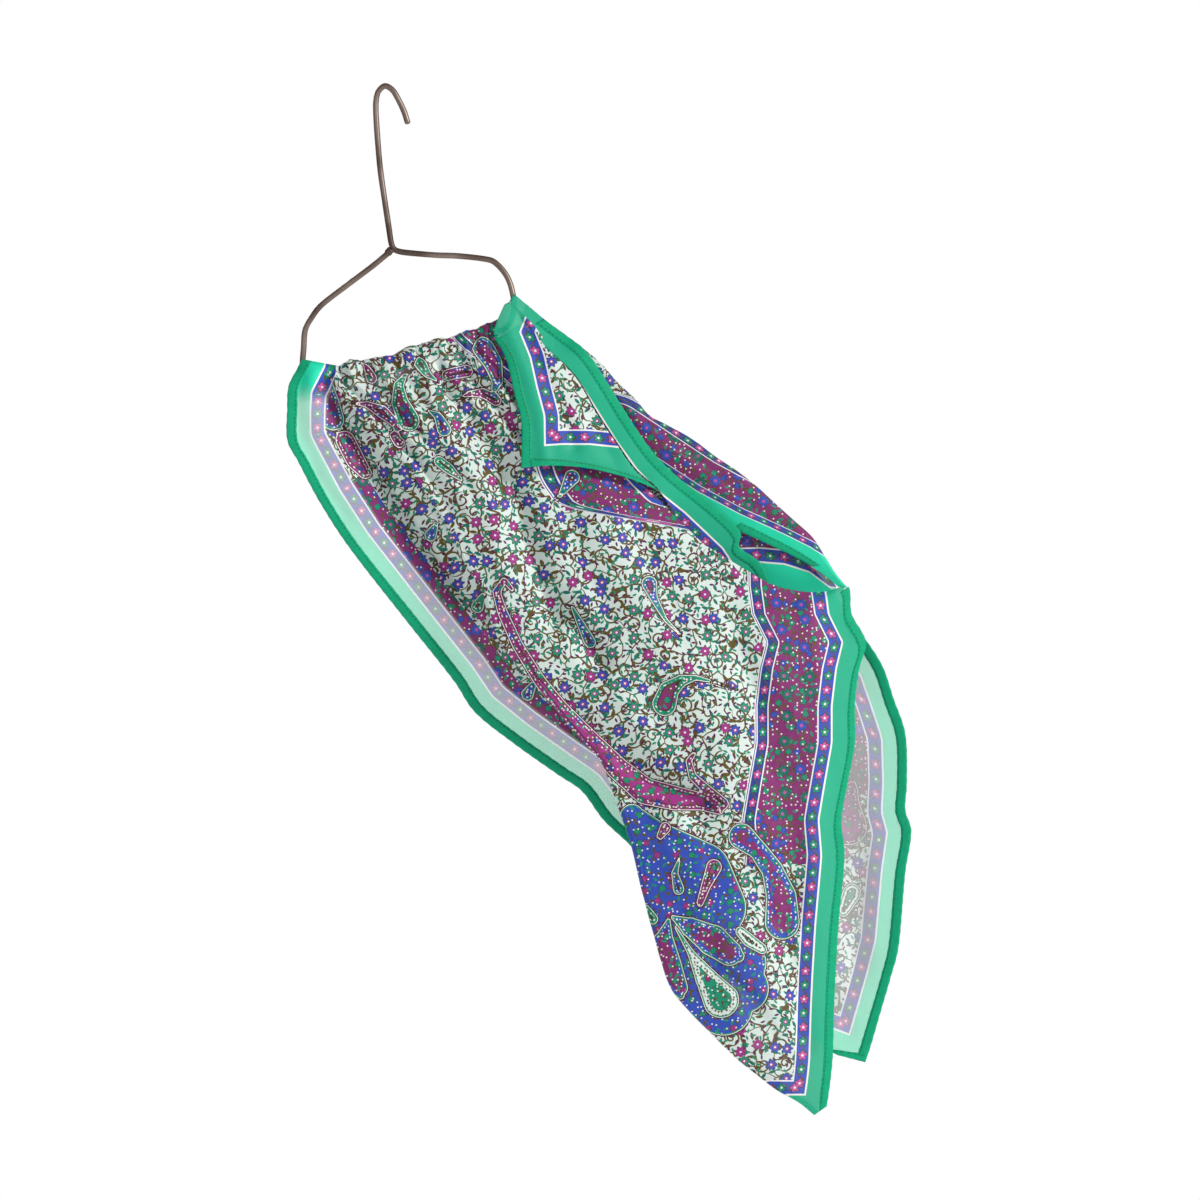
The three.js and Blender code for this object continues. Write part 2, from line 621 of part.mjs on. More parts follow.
// Hems
add('hem_front', 'hem', edgeHem(onFront, FRONT_SECTIONS, 'right', between(FRONT_DOWN, HEM_TOP_FRONT, 1)));
add('hem_back', 'hem', edgeHem(onBack, BACK_SECTIONS, 'right', between(BACK_DOWN, HEM_TOP_BACK, 1)));
add('hem_under', 'hem', edgeHem(onBack, BACK_SECTIONS, 'left', between(BACK_DOWN, HEM_TOP_UNDER, 1)));
add('hem_left', 'hem', edgeHem(onLeft, LEFT_SECTIONS, 'left', LEFT_DOWN));
add('hem_flap_side', 'hem', edgeHem(onFlap, FLAP_SECTIONS, 'left', between(FLAP_DOWN, HEM_TOP_FLAP, 1)));
add('hem_flap_bottom', 'hem', flapBottomHem());
add('hem_side', 'hem', edgeHem(onSide, SIDE_SECTIONS, 'right', between(SIDE_DOWN, HEM_TOP_SIDE, 1)));
add('hem_shoulder', 'hem', shoulderHem());

export default scarf;
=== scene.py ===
"""A printed silk square scarf hung over a bent-wire hanger.

Every cloth piece is a surface worked out with numpy from a short table of sections, in
millimetres, and every print is worked out from the distance to the scarf's edges.
"""

import math

import bmesh
import bpy
import numpy as np
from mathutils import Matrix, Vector


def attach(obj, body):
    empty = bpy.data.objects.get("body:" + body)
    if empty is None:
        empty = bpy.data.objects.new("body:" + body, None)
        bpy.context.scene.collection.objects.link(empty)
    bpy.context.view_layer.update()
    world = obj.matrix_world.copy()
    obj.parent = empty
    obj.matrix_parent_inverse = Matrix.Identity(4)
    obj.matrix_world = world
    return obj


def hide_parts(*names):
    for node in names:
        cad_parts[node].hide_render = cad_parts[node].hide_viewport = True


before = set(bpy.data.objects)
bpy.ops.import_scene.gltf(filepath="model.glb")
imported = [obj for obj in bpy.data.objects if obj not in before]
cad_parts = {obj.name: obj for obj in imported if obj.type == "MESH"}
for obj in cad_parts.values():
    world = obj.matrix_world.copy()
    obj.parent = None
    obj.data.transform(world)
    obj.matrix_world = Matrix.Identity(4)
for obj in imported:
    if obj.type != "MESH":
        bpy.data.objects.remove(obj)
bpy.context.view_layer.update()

bl_info = {
    "name": "Silk square scarf on a wire hanger",
    "version": (1, 0, 0),
    "blender": (4, 5, 0),
    "location": "3D View > Sidebar > Scarf",
    "description": "Dresses the scarf and its hanger with cloth, hems, stitches and print",
    "category": "Object",
}

MM = 0.001
WELD = 0.02 * MM
FULL_TURN = 6.283
WIRE_RADIUS = 2.0
HEM_WIDTH = 7.0
CLOTH_STARTS = 6.0
BAR_LEFT = (-46.0, -199.0)
BAR_RIGHT = (76.0, -165.0)
GATHER_LEFT = -36.0
GATHER_RIGHT = 76.0
GATHER_COUNT = 7
GATHER_HEIGHT = 1.7
BACK_LEG_STARTS = 0.72
RETURN_WIDTH = 46.0
SHOULDER_RETURN = 13.0
RETURN_ENDS = 0.2
FOLD_ENDS = 0.5

# The print's frame of stripes, in millimetres from the edge.
GREEN_ENDS = 15.4
STRIPE_MIDDLE = 20.8
STRIPE_ENDS = 25.5
BAND_MIDDLE = 44.5
BAND_ENDS = 63.5
INNER_MIDDLE = 68
INNER_ENDS = 74
CORNER_CLEAR = 172
FLOWER_PITCH = 9.5
LINED_COVER = 0.94

# Hems and stitches. Each ring of a stitch has a share of its length and a radius.
HEM_SIDES = 14
HEM_HALF_THICKNESS = 0.62
STITCH_SIDES = 6
STITCH_RINGS = ((0.0, 0.12), (0.5, 0.3), (1.0, 0.12))
STITCH_SHARE = 0.62
STITCH_INSET = 0.8
STITCH_LIFT = 0.93

# Sections of each fall from the bar down: left end x z, right end x z, depth y at the left,
# the middle and the right, lift of the middle.
FRONT_SECTIONS = np.array([
    [-36, -203.8, 76, -172.6, -10, -9.5, -8, 0],
    [-28, -211, 86, -184, -12.5, -11.5, -8.5, 0],
    [-12, -228, 102, -203, -13.5, -14, -9, 0],
    [5, -246, 118, -222, -14, -16, -9, 0],
    [20, -264.5, 148, -247, -16, -19, -9.5, 0],
    [39, -293, 179, -273, -18, -23, -10.5, 0],
    [47, -308, 196, -290, -19, -25, -15, 0],
    [53, -322, 214, -308, -20, -27, -16, 0],
    [64, -338, 226, -316, -21, -29, -17.5, 0],
    [71, -361, 247.5, -329, -22, -31, -19, 0],
    [81, -381, 262, -337, -23, -32, -20, 0],
    [105, -409, 284, -342, -24, -33, -20, 0],
    [128, -437, 300, -341.5, -24, -33, -20, 0],
    [145.5, -456, 313.5, -338.5, -24, -33, -19, 0],
    [155, -480, 316, -357, -24, -33, -18, 0],
    [162, -500, 325.5, -376, -24, -33, -18, 0],
    [167, -515, 321, -394, -24, -33, -19, 0],
    [173, -541, 318, -419, -24, -33, -20, 0],
    [176, -552, 318, -444, -24, -33, -20, 0],
    [179, -564, 313, -472, -24, -32, -20, 0],
    [182.5, -576, 309, -496, -24, -32, -20, 0],
    [186, -589, 311, -520, -24, -31, -20, 0],
    [194, -611, 307, -566, -23, -30, -20, 0],
    [208, -628, 305, -600, -23, -29, -20, 0],
    [223, -643, 304, -622, -22, -28, -20, 0],
    [237, -657, 303.5, -640, -22, -26, -20, 0],
    [252, -669, 303, -657, -21, -25, -20, 0],
    [265, -679, 302, -668, -21, -23, -20, 0],
    [280, -687.5, 300.5, -680, -20, -21, -20, 0],
    [290.5, -696, 299, -690, -20, -20, -20, 0],
])
BACK_SECTIONS = np.array([
    [-36, -204, 90, -160, 6, 9, 7.6, -10],
    [-24, -218, 101, -166, 3.5, 8, 4.4, -6],
    [-4, -234, 116, -177, 1, 8, 4.7, -3],
    [18, -246, 138, -194, 2.5, 9, 5.1, 0],
    [46, -270, 162.4, -219.5, 4, 11, 5.5, 0],
    [64.5, -293, 184.5, -237.5, 7, 14, 5.6, 0],
    [78.5, -322, 217.5, -259, 11, 18, 5.6, 0],
    [96.5, -361, 247, -280.5, 15, 22, 5.6, 0],
    [130.5, -409, 270.5, -302, 18, 25, 5.4, 0],
    [150, -434, 289.5, -324.5, 19, 27, 4.8, 0],
    [165.5, -450, 309, -349, 20, 28, 7, 0],
    [172, -466, 323, -369, 20, 28, 11, 0],
    [178, -480, 338, -392, 20, 28, 13, 0],
    [184, -492, 346, -415, 20, 28, 14, 0],
    [187, -502, 354, -439, 20, 28, 15, 0],
    [187, -510, 355, -472, 20, 28, 15, 0],
    [173, -524, 354, -491, 19, 27, 15, 0],
    [178, -533, 358, -505, 19, 27, 15, 0],
    [187, -549, 354, -533, 19, 26, 15, 0],
    [205, -580, 349.5, -583, 18, 25, 15, 0],
    [243, -612, 344, -605, 17, 22, 15, 0],
    [266, -633, 337, -629, 16, 19, 15, 0],
    [290, -649, 330, -653, 15, 16, 15, 0],
    [309, -658.5, 326.5, -663, 15, 15, 15, 0],
])
LEFT_SECTIONS = np.array([
    [-57, -184, -37.3, -187.5, -4.4, -4.6, -2.4, 0],
    [-60, -190, -37.3, -193, -5.4, -7, -5, 0],
    [-66, -202, -37.3, -202, -5.4, -7, -5, 0],
    [-67, -218, -27, -214, -5, -6.5, -4, 0],
    [-67, -239, -5, -233.5, -3, -4.5, -1.4, 0],
    [-60, -253, 17, -246.8, 0, -1, 2, 0],
    [-45, -281.3, 45, -270.7, 3, 1, 3.5, 0],
    [-25.4, -311.6, 63.6, -293.7, 6, 4, 6.6, 0],
    [14, -362.4, 77.6, -322.7, 10, 8, 10.6, 0],
    [46, -403, 95.6, -361.7, 13, 12, 14.7, 0],
    [60, -424, 111.5, -386.4, 14, 14, 16.5, 0],
    [86, -445, 129.3, -409.8, 15, 16, 17.8, 0],
    [117, -467, 148.7, -434.9, 16, 17, 18.9, 0],
    [133, -478, 164.1, -451.2, 17, 18, 19.9, 0],
    [148, -498, 176.4, -480.8, 18, 19, 20, 0],
    [166, -515, 185.6, -502.4, 19, 19.5, 20, 0],
    [171.2, -521.6, 185.2, -508.2, 19, 19.5, 20, 0],
])
FLAP_SECTIONS = np.array([
    [80.5, -147, 83.3, -145.3, -5.4, -5.4, -5.2, 0],
    [75, -160, 97.2, -161.5, -9, -9.5, -8, 0],
    [73.5, -168, 109.2, -177.5, -10.5, -12, -10.5, 0],
    [79, -178, 121.2, -188.5, -13, -14, -11.5, 0],
    [83, -188, 130.2, -198.5, -15, -15, -12, 0],
    [87, -206, 142.2, -219.5, -18, -17, -12.5, 0],
    [92, -225, 155.2, -239.5, -21, -19, -13.2, 0],
    [92.5, -244, 169.2, -259.5, -24, -22, -14.2, 2],
    [92, -258.5, 183.9, -272.7, -26, -24, -15.2, 7],
])
SIDE_SECTIONS = np.array([
    [84, -144.5, 87, -139.5, -5, -4.8, -4.5, 0],
    [98, -161, 108, -157, -8, -5.4, -3.9, 0],
    [110, -177, 123, -168, -10.5, -7, -4.5, 0],
    [122, -188, 135, -177.5, -11.5, -10, -8, 0],
    [131, -198, 145, -191, -12, -10.5, -8.5, 0],
    [143, -219, 158, -212, -12.5, -11, -9, 0],
    [156, -239, 170, -231, -13.2, -12, -10, 0],
    [170, -259, 183, -249, -14.2, -12.5, -10.5, 0],
    [185, -272.5, 197, -263, -15, -13.5, -11.5, 0],
    [197, -292, 213.5, -276, -11, -11, -10.5, 0],
    [206, -308, 229, -289, -9, -10, -10, 0],
    [212, -324, 241, -302, -8.5, -9, -9.5, 0],
    [216, -334, 240, -311, -8.5, -9, -9, 0],
    [226, -346, 254, -322, -8, -9, -9, 0],
    [234, -356, 260, -335, -8, -9, -9, 0],
    [240, -364, 262, -350, -8, -9, -9, 0],
])
TUCK_SECTIONS = np.array([
    [236, -300, 232, -318, 0, 0, 0, 0],
    [256, -301, 252, -338, 0, 1, 1, 0],
    [276, -309, 276, -352, 0, 1, 1, 0],
    [294, -324, 294, -352, 0, 0.5, 0, 0],
    [306, -338, 305, -352, 0, 0, 0, 0],
])
# Fold line x z, front end x z and radius of the shoulder's fold.
SHOULDER_SECTIONS = np.array([
    [95, -146, 92, -156, 2.2],
    [108, -157, 102, -168, 2.6],
    [123, -168, 114, -180, 3],
    [145.5, -186, 133, -200, 3.4],
    [156, -198, 141, -212, 3.6],
    [170, -211.5, 150, -225, 4],
    [179, -222, 158, -236, 4],
    [190, -228, 166, -246, 4],
    [208, -238, 178, -259, 4],
    [224, -250, 190, -271, 4],
    [239, -260, 206, -283, 4],
    [254, -272, 224, -294, 4],
    [262, -279.5, 236, -299, 4],
    [278, -294, 254, -307, 4],
    [290, -305, 268, -313.5, 3.5],
    [299, -319, 283, -321, 3],
    [306, -330, 297, -330, 2.2],
    [313.5, -339, 307.5, -338.5, 1.6],
])
# Long soft folds: course x z, half width, depth with + away from the viewer.
FRONT_FOLDS = [
    ([(57, -232), (77, -254), (88, -275), (94.5, -303), (105, -330), (115, -361)], 11, 5),
    ([(30, -212), (60, -262), (72, -300), (82, -340)], 9, -3),
    ([(118, -350), (135, -372), (146, -390)], 10, 5),
    ([(118, -415), (173, -463), (213, -483)], 12, 5),
    ([(150, -300), (175, -350), (205, -400), (228, -450)], 16, -4),
    ([(190, -500), (222, -545), (250, -600), (270, -640)], 13, -4),
    ([(236, -380), (262, -430), (270, -490), (276, -560)], 12, 4),
]
LEFT_FOLDS = [
    ([(-48, -194), (-50, -213), (-46, -232), (-33, -252), (-24, -262)], 6, -2.4),
    ([(-16, -232), (-4, -252), (14, -280), (30, -310), (54, -345)], 8, 3),
]
BACK_FOLDS = [
    ([(60, -210), (110, -260), (150, -330), (190, -400)], 14, 5),
    ([(120, -215), (180, -280), (225, -350), (250, -430), (262, -520)], 15, -5),
    ([(205, -300), (262, -370), (300, -440), (318, -520), (322, -590)], 12, 5),
]
# Smaller creases that only the dressed cloth has.
FRONT_CREASES = [
    ([(57, -232), (77, -254), (88, -275), (94.5, -303), (105, -330), (115, -361)], 6.5, 4.5),
    ([(118, -350), (135, -372), (146, -390)], 7, 4.5),
    ([(118, -415), (145, -441), (173, -463), (213, -483)], 8, 4),
    ([(170, -300), (178, -322), (192, -350), (200, -372)], 8, 2.4),
    ([(212, -500), (222, -530), (226, -570), (222, -600)], 8, 2.2),
    ([(31, -171), (37, -190), (43, -209), (52, -226)], 3.2, 3.0),
    ([(22, -176), (28, -196), (36, -222), (50, -250)], 4, -1.8),
    ([(-20, -190), (-8, -212), (8, -236), (28, -262), (44, -292)], 4.5, 2.2),
    ([(-4, -186), (8, -208), (24, -232), (44, -262), (58, -290)], 4.5, -2.0),
    ([(46, -168), (54, -190), (66, -214), (80, -236)], 4, 2.0),
    ([(62, -164), (70, -186), (84, -212), (100, -236)], 4.5, -1.8),
    ([(112, -262), (124, -290), (134, -322), (150, -356)], 8, 2.4),
    ([(150, -395), (170, -430), (196, -462), (230, -480)], 7, -2.2),
    ([(120, -438), (150, -470), (186, -500), (206, -520)], 6, 2.6),
    ([(232, -350), (240, -380), (252, -420), (258, -460)], 7, 1.8),
    ([(240, -520), (262, -560), (278, -600), (286, -650)], 6, 2.2),
    ([(200, -560), (222, -590), (248, -620), (272, -652)], 6, 2.0),
    ([(286, -350), (292, -390), (294, -440), (290, -500), (288, -560)], 7, -2.0),
    ([(187, -575), (225, -548), (268, -530), (311, -520)], 1.6, -0.8),
]
LEFT_CREASES = [
    ([(-34, -204), (-24, -230), (-10, -252), (6, -278), (22, -304), (50, -342)], 9, 6.0),
    ([(-58, -196), (-60, -214), (-58, -236), (-46, -262), (-28, -290)], 4, 1.6),
    ([(-30, -214), (-16, -238), (0, -262), (22, -292), (46, -330)], 5, 4.0),
    ([(-40, -262), (-10, -300), (30, -350), (66, -398)], 5, -1.6),
    ([(10, -318), (40, -352), (76, -396), (112, -436)], 6, 2.2),
]
BACK_CREASES = [
    ([(326, -440), (330, -500), (326, -560), (316, -610)], 7, 2.4),
    ([(-20, -212), (30, -262), (80, -330)], 6, 2.4),
    ([(0, -206), (60, -258), (110, -330), (140, -380)], 6, -2.2),
    ([(30, -200), (100, -262), (160, -340), (200, -420)], 7, 2.0),
    ([(60, -190), (150, -266), (214, -350), (240, -430)], 6, 2.0),
    ([(320, -420), (330, -470), (332, -530), (330, -590)], 6, -2.0),
    ([(300, -500), (330, -494), (357, -500)], 1.8, -0.9),
    ([(260, -560), (290, -600), (314, -640)], 6, 2.0),
]
FLAP_CREASES = [
    ([(92, -160), (104, -186), (116, -212), (128, -244)], 5, 2.0),
    ([(84, -166), (94, -190), (104, -220), (108, -250)], 5, -1.6),
    ([(140, -226), (152, -250), (160, -266)], 5, 1.6),
]
SHOULDER_CREASES = [
    ([(150, -200), (180, -232), (214, -262), (250, -290)], 4, -0.9),
    ([(190, -232), (226, -262), (262, -296)], 3, 0.8),
]
CLOTH_TOP_LINE = [
    (-36, -188), (-24, -184), (-8, -182.5), (5, -180), (14, -175), (33, -170), (39, -169),
    (53, -165), (72, -158), (76, -156),
]
WIRE_LINE = [
    (15, -24), (12.5, -16), (9.1, -8.6), (4.6, -1), (-0.7, 2), (-5.2, -1.6), (-6.8, -8),
    (-6.8, -18), (-5.6, -36), (-4, -54), (-1.2, -74), (2, -95), (3.6, -105), (5.6, -109),
    (9.5, -110.6), (16, -111.5), (34, -113), (49, -113.6), (67, -115.6), (74, -118),
    (81.6, -126.5), (85.7, -137), (87, -149), (84.5, -158.5), (76.3, -164.9), (15, -182),
    (-46, -199), (-53, -198), (-56.6, -190), (-56, -176), (-55, -164), (-51, -156),
    (-44, -147), (-26, -133), (-10, -121), (-0.6, -113.3), (1.4, -111.6),
]
# The scarf's first edge where it runs down the front: apex, side border, front hem.
SIDE_EDGE = [(85, -140), (108, -157), (123, -168), (145, -191), (158, -212), (170, -231),
             (183, -249), (197, -263), (213.5, -276), (241, -302), (254, -322), (260, -335)]
FRONT_EDGE = [(313.5, -338), (316, -357), (325.5, -376), (321, -394), (318, -419), (318, -444),
              (313, -472), (309, -496), (311, -520), (307, -566), (305, -600), (304, -622),
              (303.5, -640), (303, -657), (302, -668), (300.5, -680), (297, -698)]


def ramp(a, b, value):
    """0 below a, 1 above b, with a soft slope between."""
    t = np.clip((value - a) / (b - a), 0.0, 1.0)
    return t * t * (3 - 2 * t)


def run_along(line):
    """Distance from a line's first place to each of its places."""
    return np.concatenate([[0], np.cumsum(np.linalg.norm(np.diff(line, axis=0), axis=1))])


def runs(table):
    """Distance from the first section to each, measured at the middles of the sections."""
    return run_along((table[:, 0:2] + table[:, 2:4]) / 2)


def through_rows(rows, spans, at):
    """A cubic through each pair of rows, which lie at the distances in spans. Its slopes are
    those between the rows on either side."""
    last = len(rows) - 1
    i = np.clip(np.searchsorted(spans, at, side="right") - 1, 0, last - 1)
    low = np.maximum(np.arange(last + 1) - 1, 0)
    high = np.minimum(np.arange(last + 1) + 1, last)
    slopes = (rows[high] - rows[low]) / (spans[high] - spans[low])[:, None]
    gap = (spans[i + 1] - spans[i])[:, None]
    f = (at - spans[i])[:, None] / gap
    return (
        (2 * f**3 - 3 * f**2 + 1) * rows[i]
        + (f**3 - 2 * f**2 + f) * gap * slopes[i]
        + (3 * f**2 - 2 * f**3) * rows[i + 1]
        + (f**3 - f**2) * gap * slopes[i + 1]
    )


def sections_at(table, t):
    """The sections at shares t of the way down."""
    spans = runs(table)
    return through_rows(table, spans, np.clip(t, 0, 1) * spans[-1])


def distance_to(course, x, z):
    """Distance from places x, z to a line of points, and the distance along the line."""
    best = np.full(np.shape(x), 1e9)
    along = np.zeros(np.shape(x))
    run = 0.0
    for (ax, az), (bx, bz) in zip(course[:-1], course[1:]):
        length = math.hypot(bx - ax, bz - az)
        f = np.clip(((x - ax) * (bx - ax) + (z - az) * (bz - az)) / length**2, 0, 1)
        here = np.hypot(x - ax - f * (bx - ax), z - az - f * (bz - az))
        nearer = here < best
        best = np.where(nearer, here, best)
        along = np.where(nearer, run + f * length, along)
        run += length
    return best, along


def fold_depth(folds, x, z):
    """Depth that long folds add: each a soft ridge, exp(-(distance / half width) squared)."""
    depth = np.zeros(np.shape(x))
    for course, width, deep in folds:
        depth += deep * np.exp(-((distance_to(course, x, z)[0] / width) ** 2))
    return depth


def ripple(x, z, size, seed):
    """Slow uneven waves: a sum of four crossing sine waves, between about -1 and 1."""
    rng = np.random.default_rng(seed)
    total = np.zeros(np.shape(x))
    for _ in range(4):
        angle = rng.uniform(0, math.pi)
        wave = 2 * math.pi / (size * rng.uniform(0.7, 1.5))
        total += np.sin(wave * (x * math.cos(angle) + z * math.sin(angle)) + rng.uniform(0, 6.28))
    return total / 4


def on_fall(table, folds, creases, u, t):
    """Places on a fall: u across and t down, straight between the ends of each section with
    a middle bulge 4u(1-u), plus folds and creases that fade at the edges."""
    rows = sections_at(table, t)
    xl, zl, xr, zr, yl, ym, yr, lift = (rows[:, k:k + 1] for k in range(8))
    bulge = 4 * u * (1 - u)
    x = xl + (xr - xl) * u
    z = zl + (zr - zl) * u + lift * bulge
    y = yl + (yr - yl) * u + (ym - (yl + yr) / 2) * bulge
    down = t[:, None]
    edge = np.minimum(1, 8 * np.minimum(u, 1 - u)) * ramp(0, 0.02, down) * ramp(0, 0.02, 1 - down)
    soft = np.minimum(1, 14 * np.minimum(u, 1 - u) + 0.25)
    y = y + edge * fold_depth(folds, x, z) + soft * fold_depth(creases, x, z)
    y = y + 0.35 * ripple(x, z, 26, 5) * soft
    return x, y, z


def gather(u):
    """Height of the gathers along the bar: one wave of uneven pitch."""
    phase = 2 * np.pi * (GATHER_COUNT * u + 0.35 * np.sin(5 * u + 0.6))
    ends = ramp(0, 0.05, u) * ramp(0, 0.05, 1 - u)
    return GATHER_HEIGHT * (0.62 + 0.38 * np.sin(11 * u)) * np.sin(phase) * ends


def fine_gather(u):
    """Small sharp pleats between the gathers: one minus the size of a sine, of uneven pitch."""
    ends = ramp(0, 0.06, u) * ramp(0, 0.06, 1 - u)
    phase = np.pi * (19 * u + 0.8 * np.sin(7 * u))
    return ends * (1.1 * (0.5 - np.abs(np.sin(phase))) + 0.5 * np.sin(61 * u + 2 * np.sin(9 * u)))


def front_radius(t, width):
    """Radius of the fold along the left side of the front, and its share of the width."""
    radius = (1.6 + 2.9 * ramp(0.03, 0.4, t)) * (1 - 0.64 * ramp(0.86, 1, t))
    return radius, radius / width


def on_front(u, t):
    """Places on the front fall for u from 0, at the fold line, to 1, with the gathers
    running down from the bar."""
    rows = sections_at(FRONT_SECTIONS, t)
    width = np.hypot(rows[:, 2] - rows[:, 0], rows[:, 3] - rows[:, 1])[:, None]
    start = front_radius(t[:, None], width)[1]
    across = start + (1 - start) * u
    x, y, z = on_fall(FRONT_SECTIONS, FRONT_FOLDS, FRONT_CREASES, across, t)
    down = t[:, None]
    fade = (1 + ramp(0, 0.05, down)) * (1 - ramp(0.05, 0.24, down))
    y = y - gather(u) * fade - fine_gather(u) * (1 - ramp(0.0, 0.16, down))
    return x, y, z


def on_front_return(u, t):
    """Places on the turned side: u 0 to 0.5 goes half round the fold, 0.5 to 1 goes back."""
    rows = sections_at(FRONT_SECTIONS, t)
    width = np.hypot(rows[:, 2] - rows[:, 0], rows[:, 3] - rows[:, 1])[:, None]
    radius = front_radius(t[:, None], width)[0]
    x, y, z = on_front(np.zeros((1, 1)), t)
    turn = np.minimum(1, u * 2) * math.pi
    back = np.maximum(0, u * 2 - 1)
    down = t[:, None]
    reach = RETURN_WIDTH * ramp(-0.06, 0.3, down) * (1 - 0.95 * ramp(0.7, 1, down))
    along = back * reach - radius * np.sin(turn)
    dx = (rows[:, 2:3] - rows[:, 0:1]) / width
    dz = (rows[:, 3:4] - rows[:, 1:2]) / width
    return x + dx * along, y + radius * (1 - np.cos(turn)) - 0.04 * back * reach, z + dz * along


def on_gather(u, t):
    """Places on the stretch over the bar: t from 0 at the bar's front, over the top, to 1 at
    the foot of the back skirt. The cut through it is half an ellipse with a straight leg."""
    x = GATHER_LEFT - 3 + (GATHER_RIGHT + 3 - GATHER_LEFT) * u
    slope = (BAR_RIGHT[1] - BAR_LEFT[1]) / (BAR_RIGHT[0] - BAR_LEFT[0])
    bar = BAR_LEFT[1] + slope * (x - BAR_LEFT[0])
    line = np.array(CLOTH_TOP_LINE)
    waves = gather(u) + 0.8 * fine_gather(u)
    top = np.interp(x, line[:, 0], line[:, 1]) - 0.5 + 0.5 * waves
    turn = math.pi * np.minimum(1, t / BACK_LEG_STARTS)
    leg = np.maximum(0, t - BACK_LEG_STARTS) / (1 - BACK_LEG_STARTS)
    side = -np.cos(turn)
    depth = np.where(side < 0, 5 + waves, 4.8 + leg + 0.4 * fine_gather(u))
    return x + 0 * t, side * depth, bar + (top - bar) * np.sin(turn) - 6.5 * leg


def on_shoulder(u, t):
    """Places on the shoulder: u first crosses the back return, then goes half round the
    fold, and then crosses the front side to 1."""
    rows = sections_at(SHOULDER_SECTIONS, t)
    xs, zs, xe, ze, radius = (rows[:, k:k + 1] for k in range(5))
    width = np.hypot(xe - xs, ze - zs)
    dx, dz = (xe - xs) / width, (ze - zs) / width
    back = np.minimum(SHOULDER_RETURN, width)
    turn = math.pi * np.clip((u - RETURN_ENDS) / (FOLD_ENDS - RETURN_ENDS), 0, 1)
    returned = back + (radius - back) * u / RETURN_ENDS
    front = radius + (width - radius) * (u - FOLD_ENDS) / (1 - FOLD_ENDS)
    folded = np.where(u < FOLD_ENDS, radius * (1 - np.sin(turn)), front)
    along = np.where(u < RETURN_ENDS, returned, folded)
    x = xs + dx * along
    z = zs + dz * along
    y = radius * np.cos(turn)
    y = y + ramp(FOLD_ENDS, 0.6, u) * (1 - ramp(0.93, 1, u)) * fold_depth(SHOULDER_CREASES, x, z)
    return x, y, z


def width_at(table, t):
    """Width of the sections at shares t, as a column."""
    rows = sections_at(table, t)
    return np.hypot(rows[:, 2] - rows[:, 0], rows[:, 3] - rows[:, 1])[:, None]


def share_of_row(table, row):
    """Share of the way down at which a row of the table lies."""
    total = runs(table)
    return float(np.interp(row, np.arange(len(table)), total) / total[-1])


# The places on the flat square of each fall, as distances in millimetres from two edges.

def flat_front(x, z):
    """Distance from the scarf's first edge and from its lower edge. Above the front hem the
    first edge is the side border's, below it is the front hem's, with a blend between."""
    edge = np.array(FRONT_EDGE)[::-1]
    near = np.interp(z, edge[:, 1], edge[:, 0]) - x
    low = near + 8 * ramp(20, 90, near)
    side, _ = distance_to(SIDE_EDGE, x, z)
    stretch = 1 + 0.5 * ramp(-270, -190, z)
    mixed = ramp(-318, -280, z)
    return low * (1 - mixed) + side * stretch * mixed, z + 698


def flat_left(x, z):
    """Distance from the left hem and along it from the upper corner."""
    edge = [(row[0], row[1]) for row in LEFT_SECTIONS]
    near, along = distance_to(edge, x, z)
    return near, along + 70


def flat_back(x, z):
    """Distance from the right hem and from the lower hem of the back fall."""
    right = [(309, -349), (316, -356), (323, -369), (338, -392), (346, -415), (354, -439),
             (355, -472), (354, -491), (358, -505), (354, -533), (349.5, -583), (344, -605),
             (337, -629), (330, -653), (326, -664)]
    near, _ = distance_to(right, x, z)
    lower = (x - 325) * 0.36 + (z + 665) * 0.933
    return near, np.abs(lower)


def flat_flap(x, z):
    """Distance from the flap's side hem and from its lower hem."""
    side = [(84, -140), (74, -166), (79, -178), (83, -188), (87, -206), (92, -225), (92.5, -258)]
    foot = [(80, -261), (121, -258), (138, -258), (159, -260), (173, -263), (190, -276)]
    return distance_to(side, x, z)[0], distance_to(foot, x, z)[0]


def flat_side(x, z):
    """Distance from the side hem and along it."""
    near, along = distance_to(SIDE_EDGE + [(262, -352)], x, z)
    return near, along + 190


def flat_shoulder(x, z):
    """Distance from the shoulder's lower hem, wider where the cloth leans over, and along it."""
    hem = [(150, -246), (206, -283), (236, -299), (254, -307), (268, -313.5), (283, -321),
           (297, -330), (310, -341)]
    near, along = distance_to(hem, x, z)
    lean = np.where(near < 7, near, 7 + 2.3 * (near - 7))
    return np.where(lean < 50, lean, 50 + 0.75 * (lean - 50)), along + 200


def flat_tuck(x, z):
    """Height above a line under the white stripe, and along it."""
    line = np.array([(236, -322), (254, -321.6), (271, -323), (288, -328.4), (302, -339)])
    return z - np.interp(x, line[:, 0], line[:, 1]) + 16, x


# Meshes

def grid_faces(rows, columns):
    """Four-sided faces of a grid of rows by columns of vertices."""
    base = (np.arange(rows - 1)[:, None] * columns + np.arange(columns - 1)).ravel()
    return np.stack([base, base + 1, base + columns + 1, base + columns], axis=1)


def tube_faces(rings, sides):
    """Four-sided faces between rings of vertices, and then a flat lid on each end."""
    base = np.arange(rings - 1)[:, None] * sides
    j = np.arange(sides)
    following = (j + 1) % sides
    walls = np.stack(
        [base + j, base + following, base + following + sides, base + j + sides], axis=-1)
    lids = [j[::-1].tolist(), (j + (rings - 1) * sides).tolist()]
    return walls.reshape(-1, 4).tolist() + lids


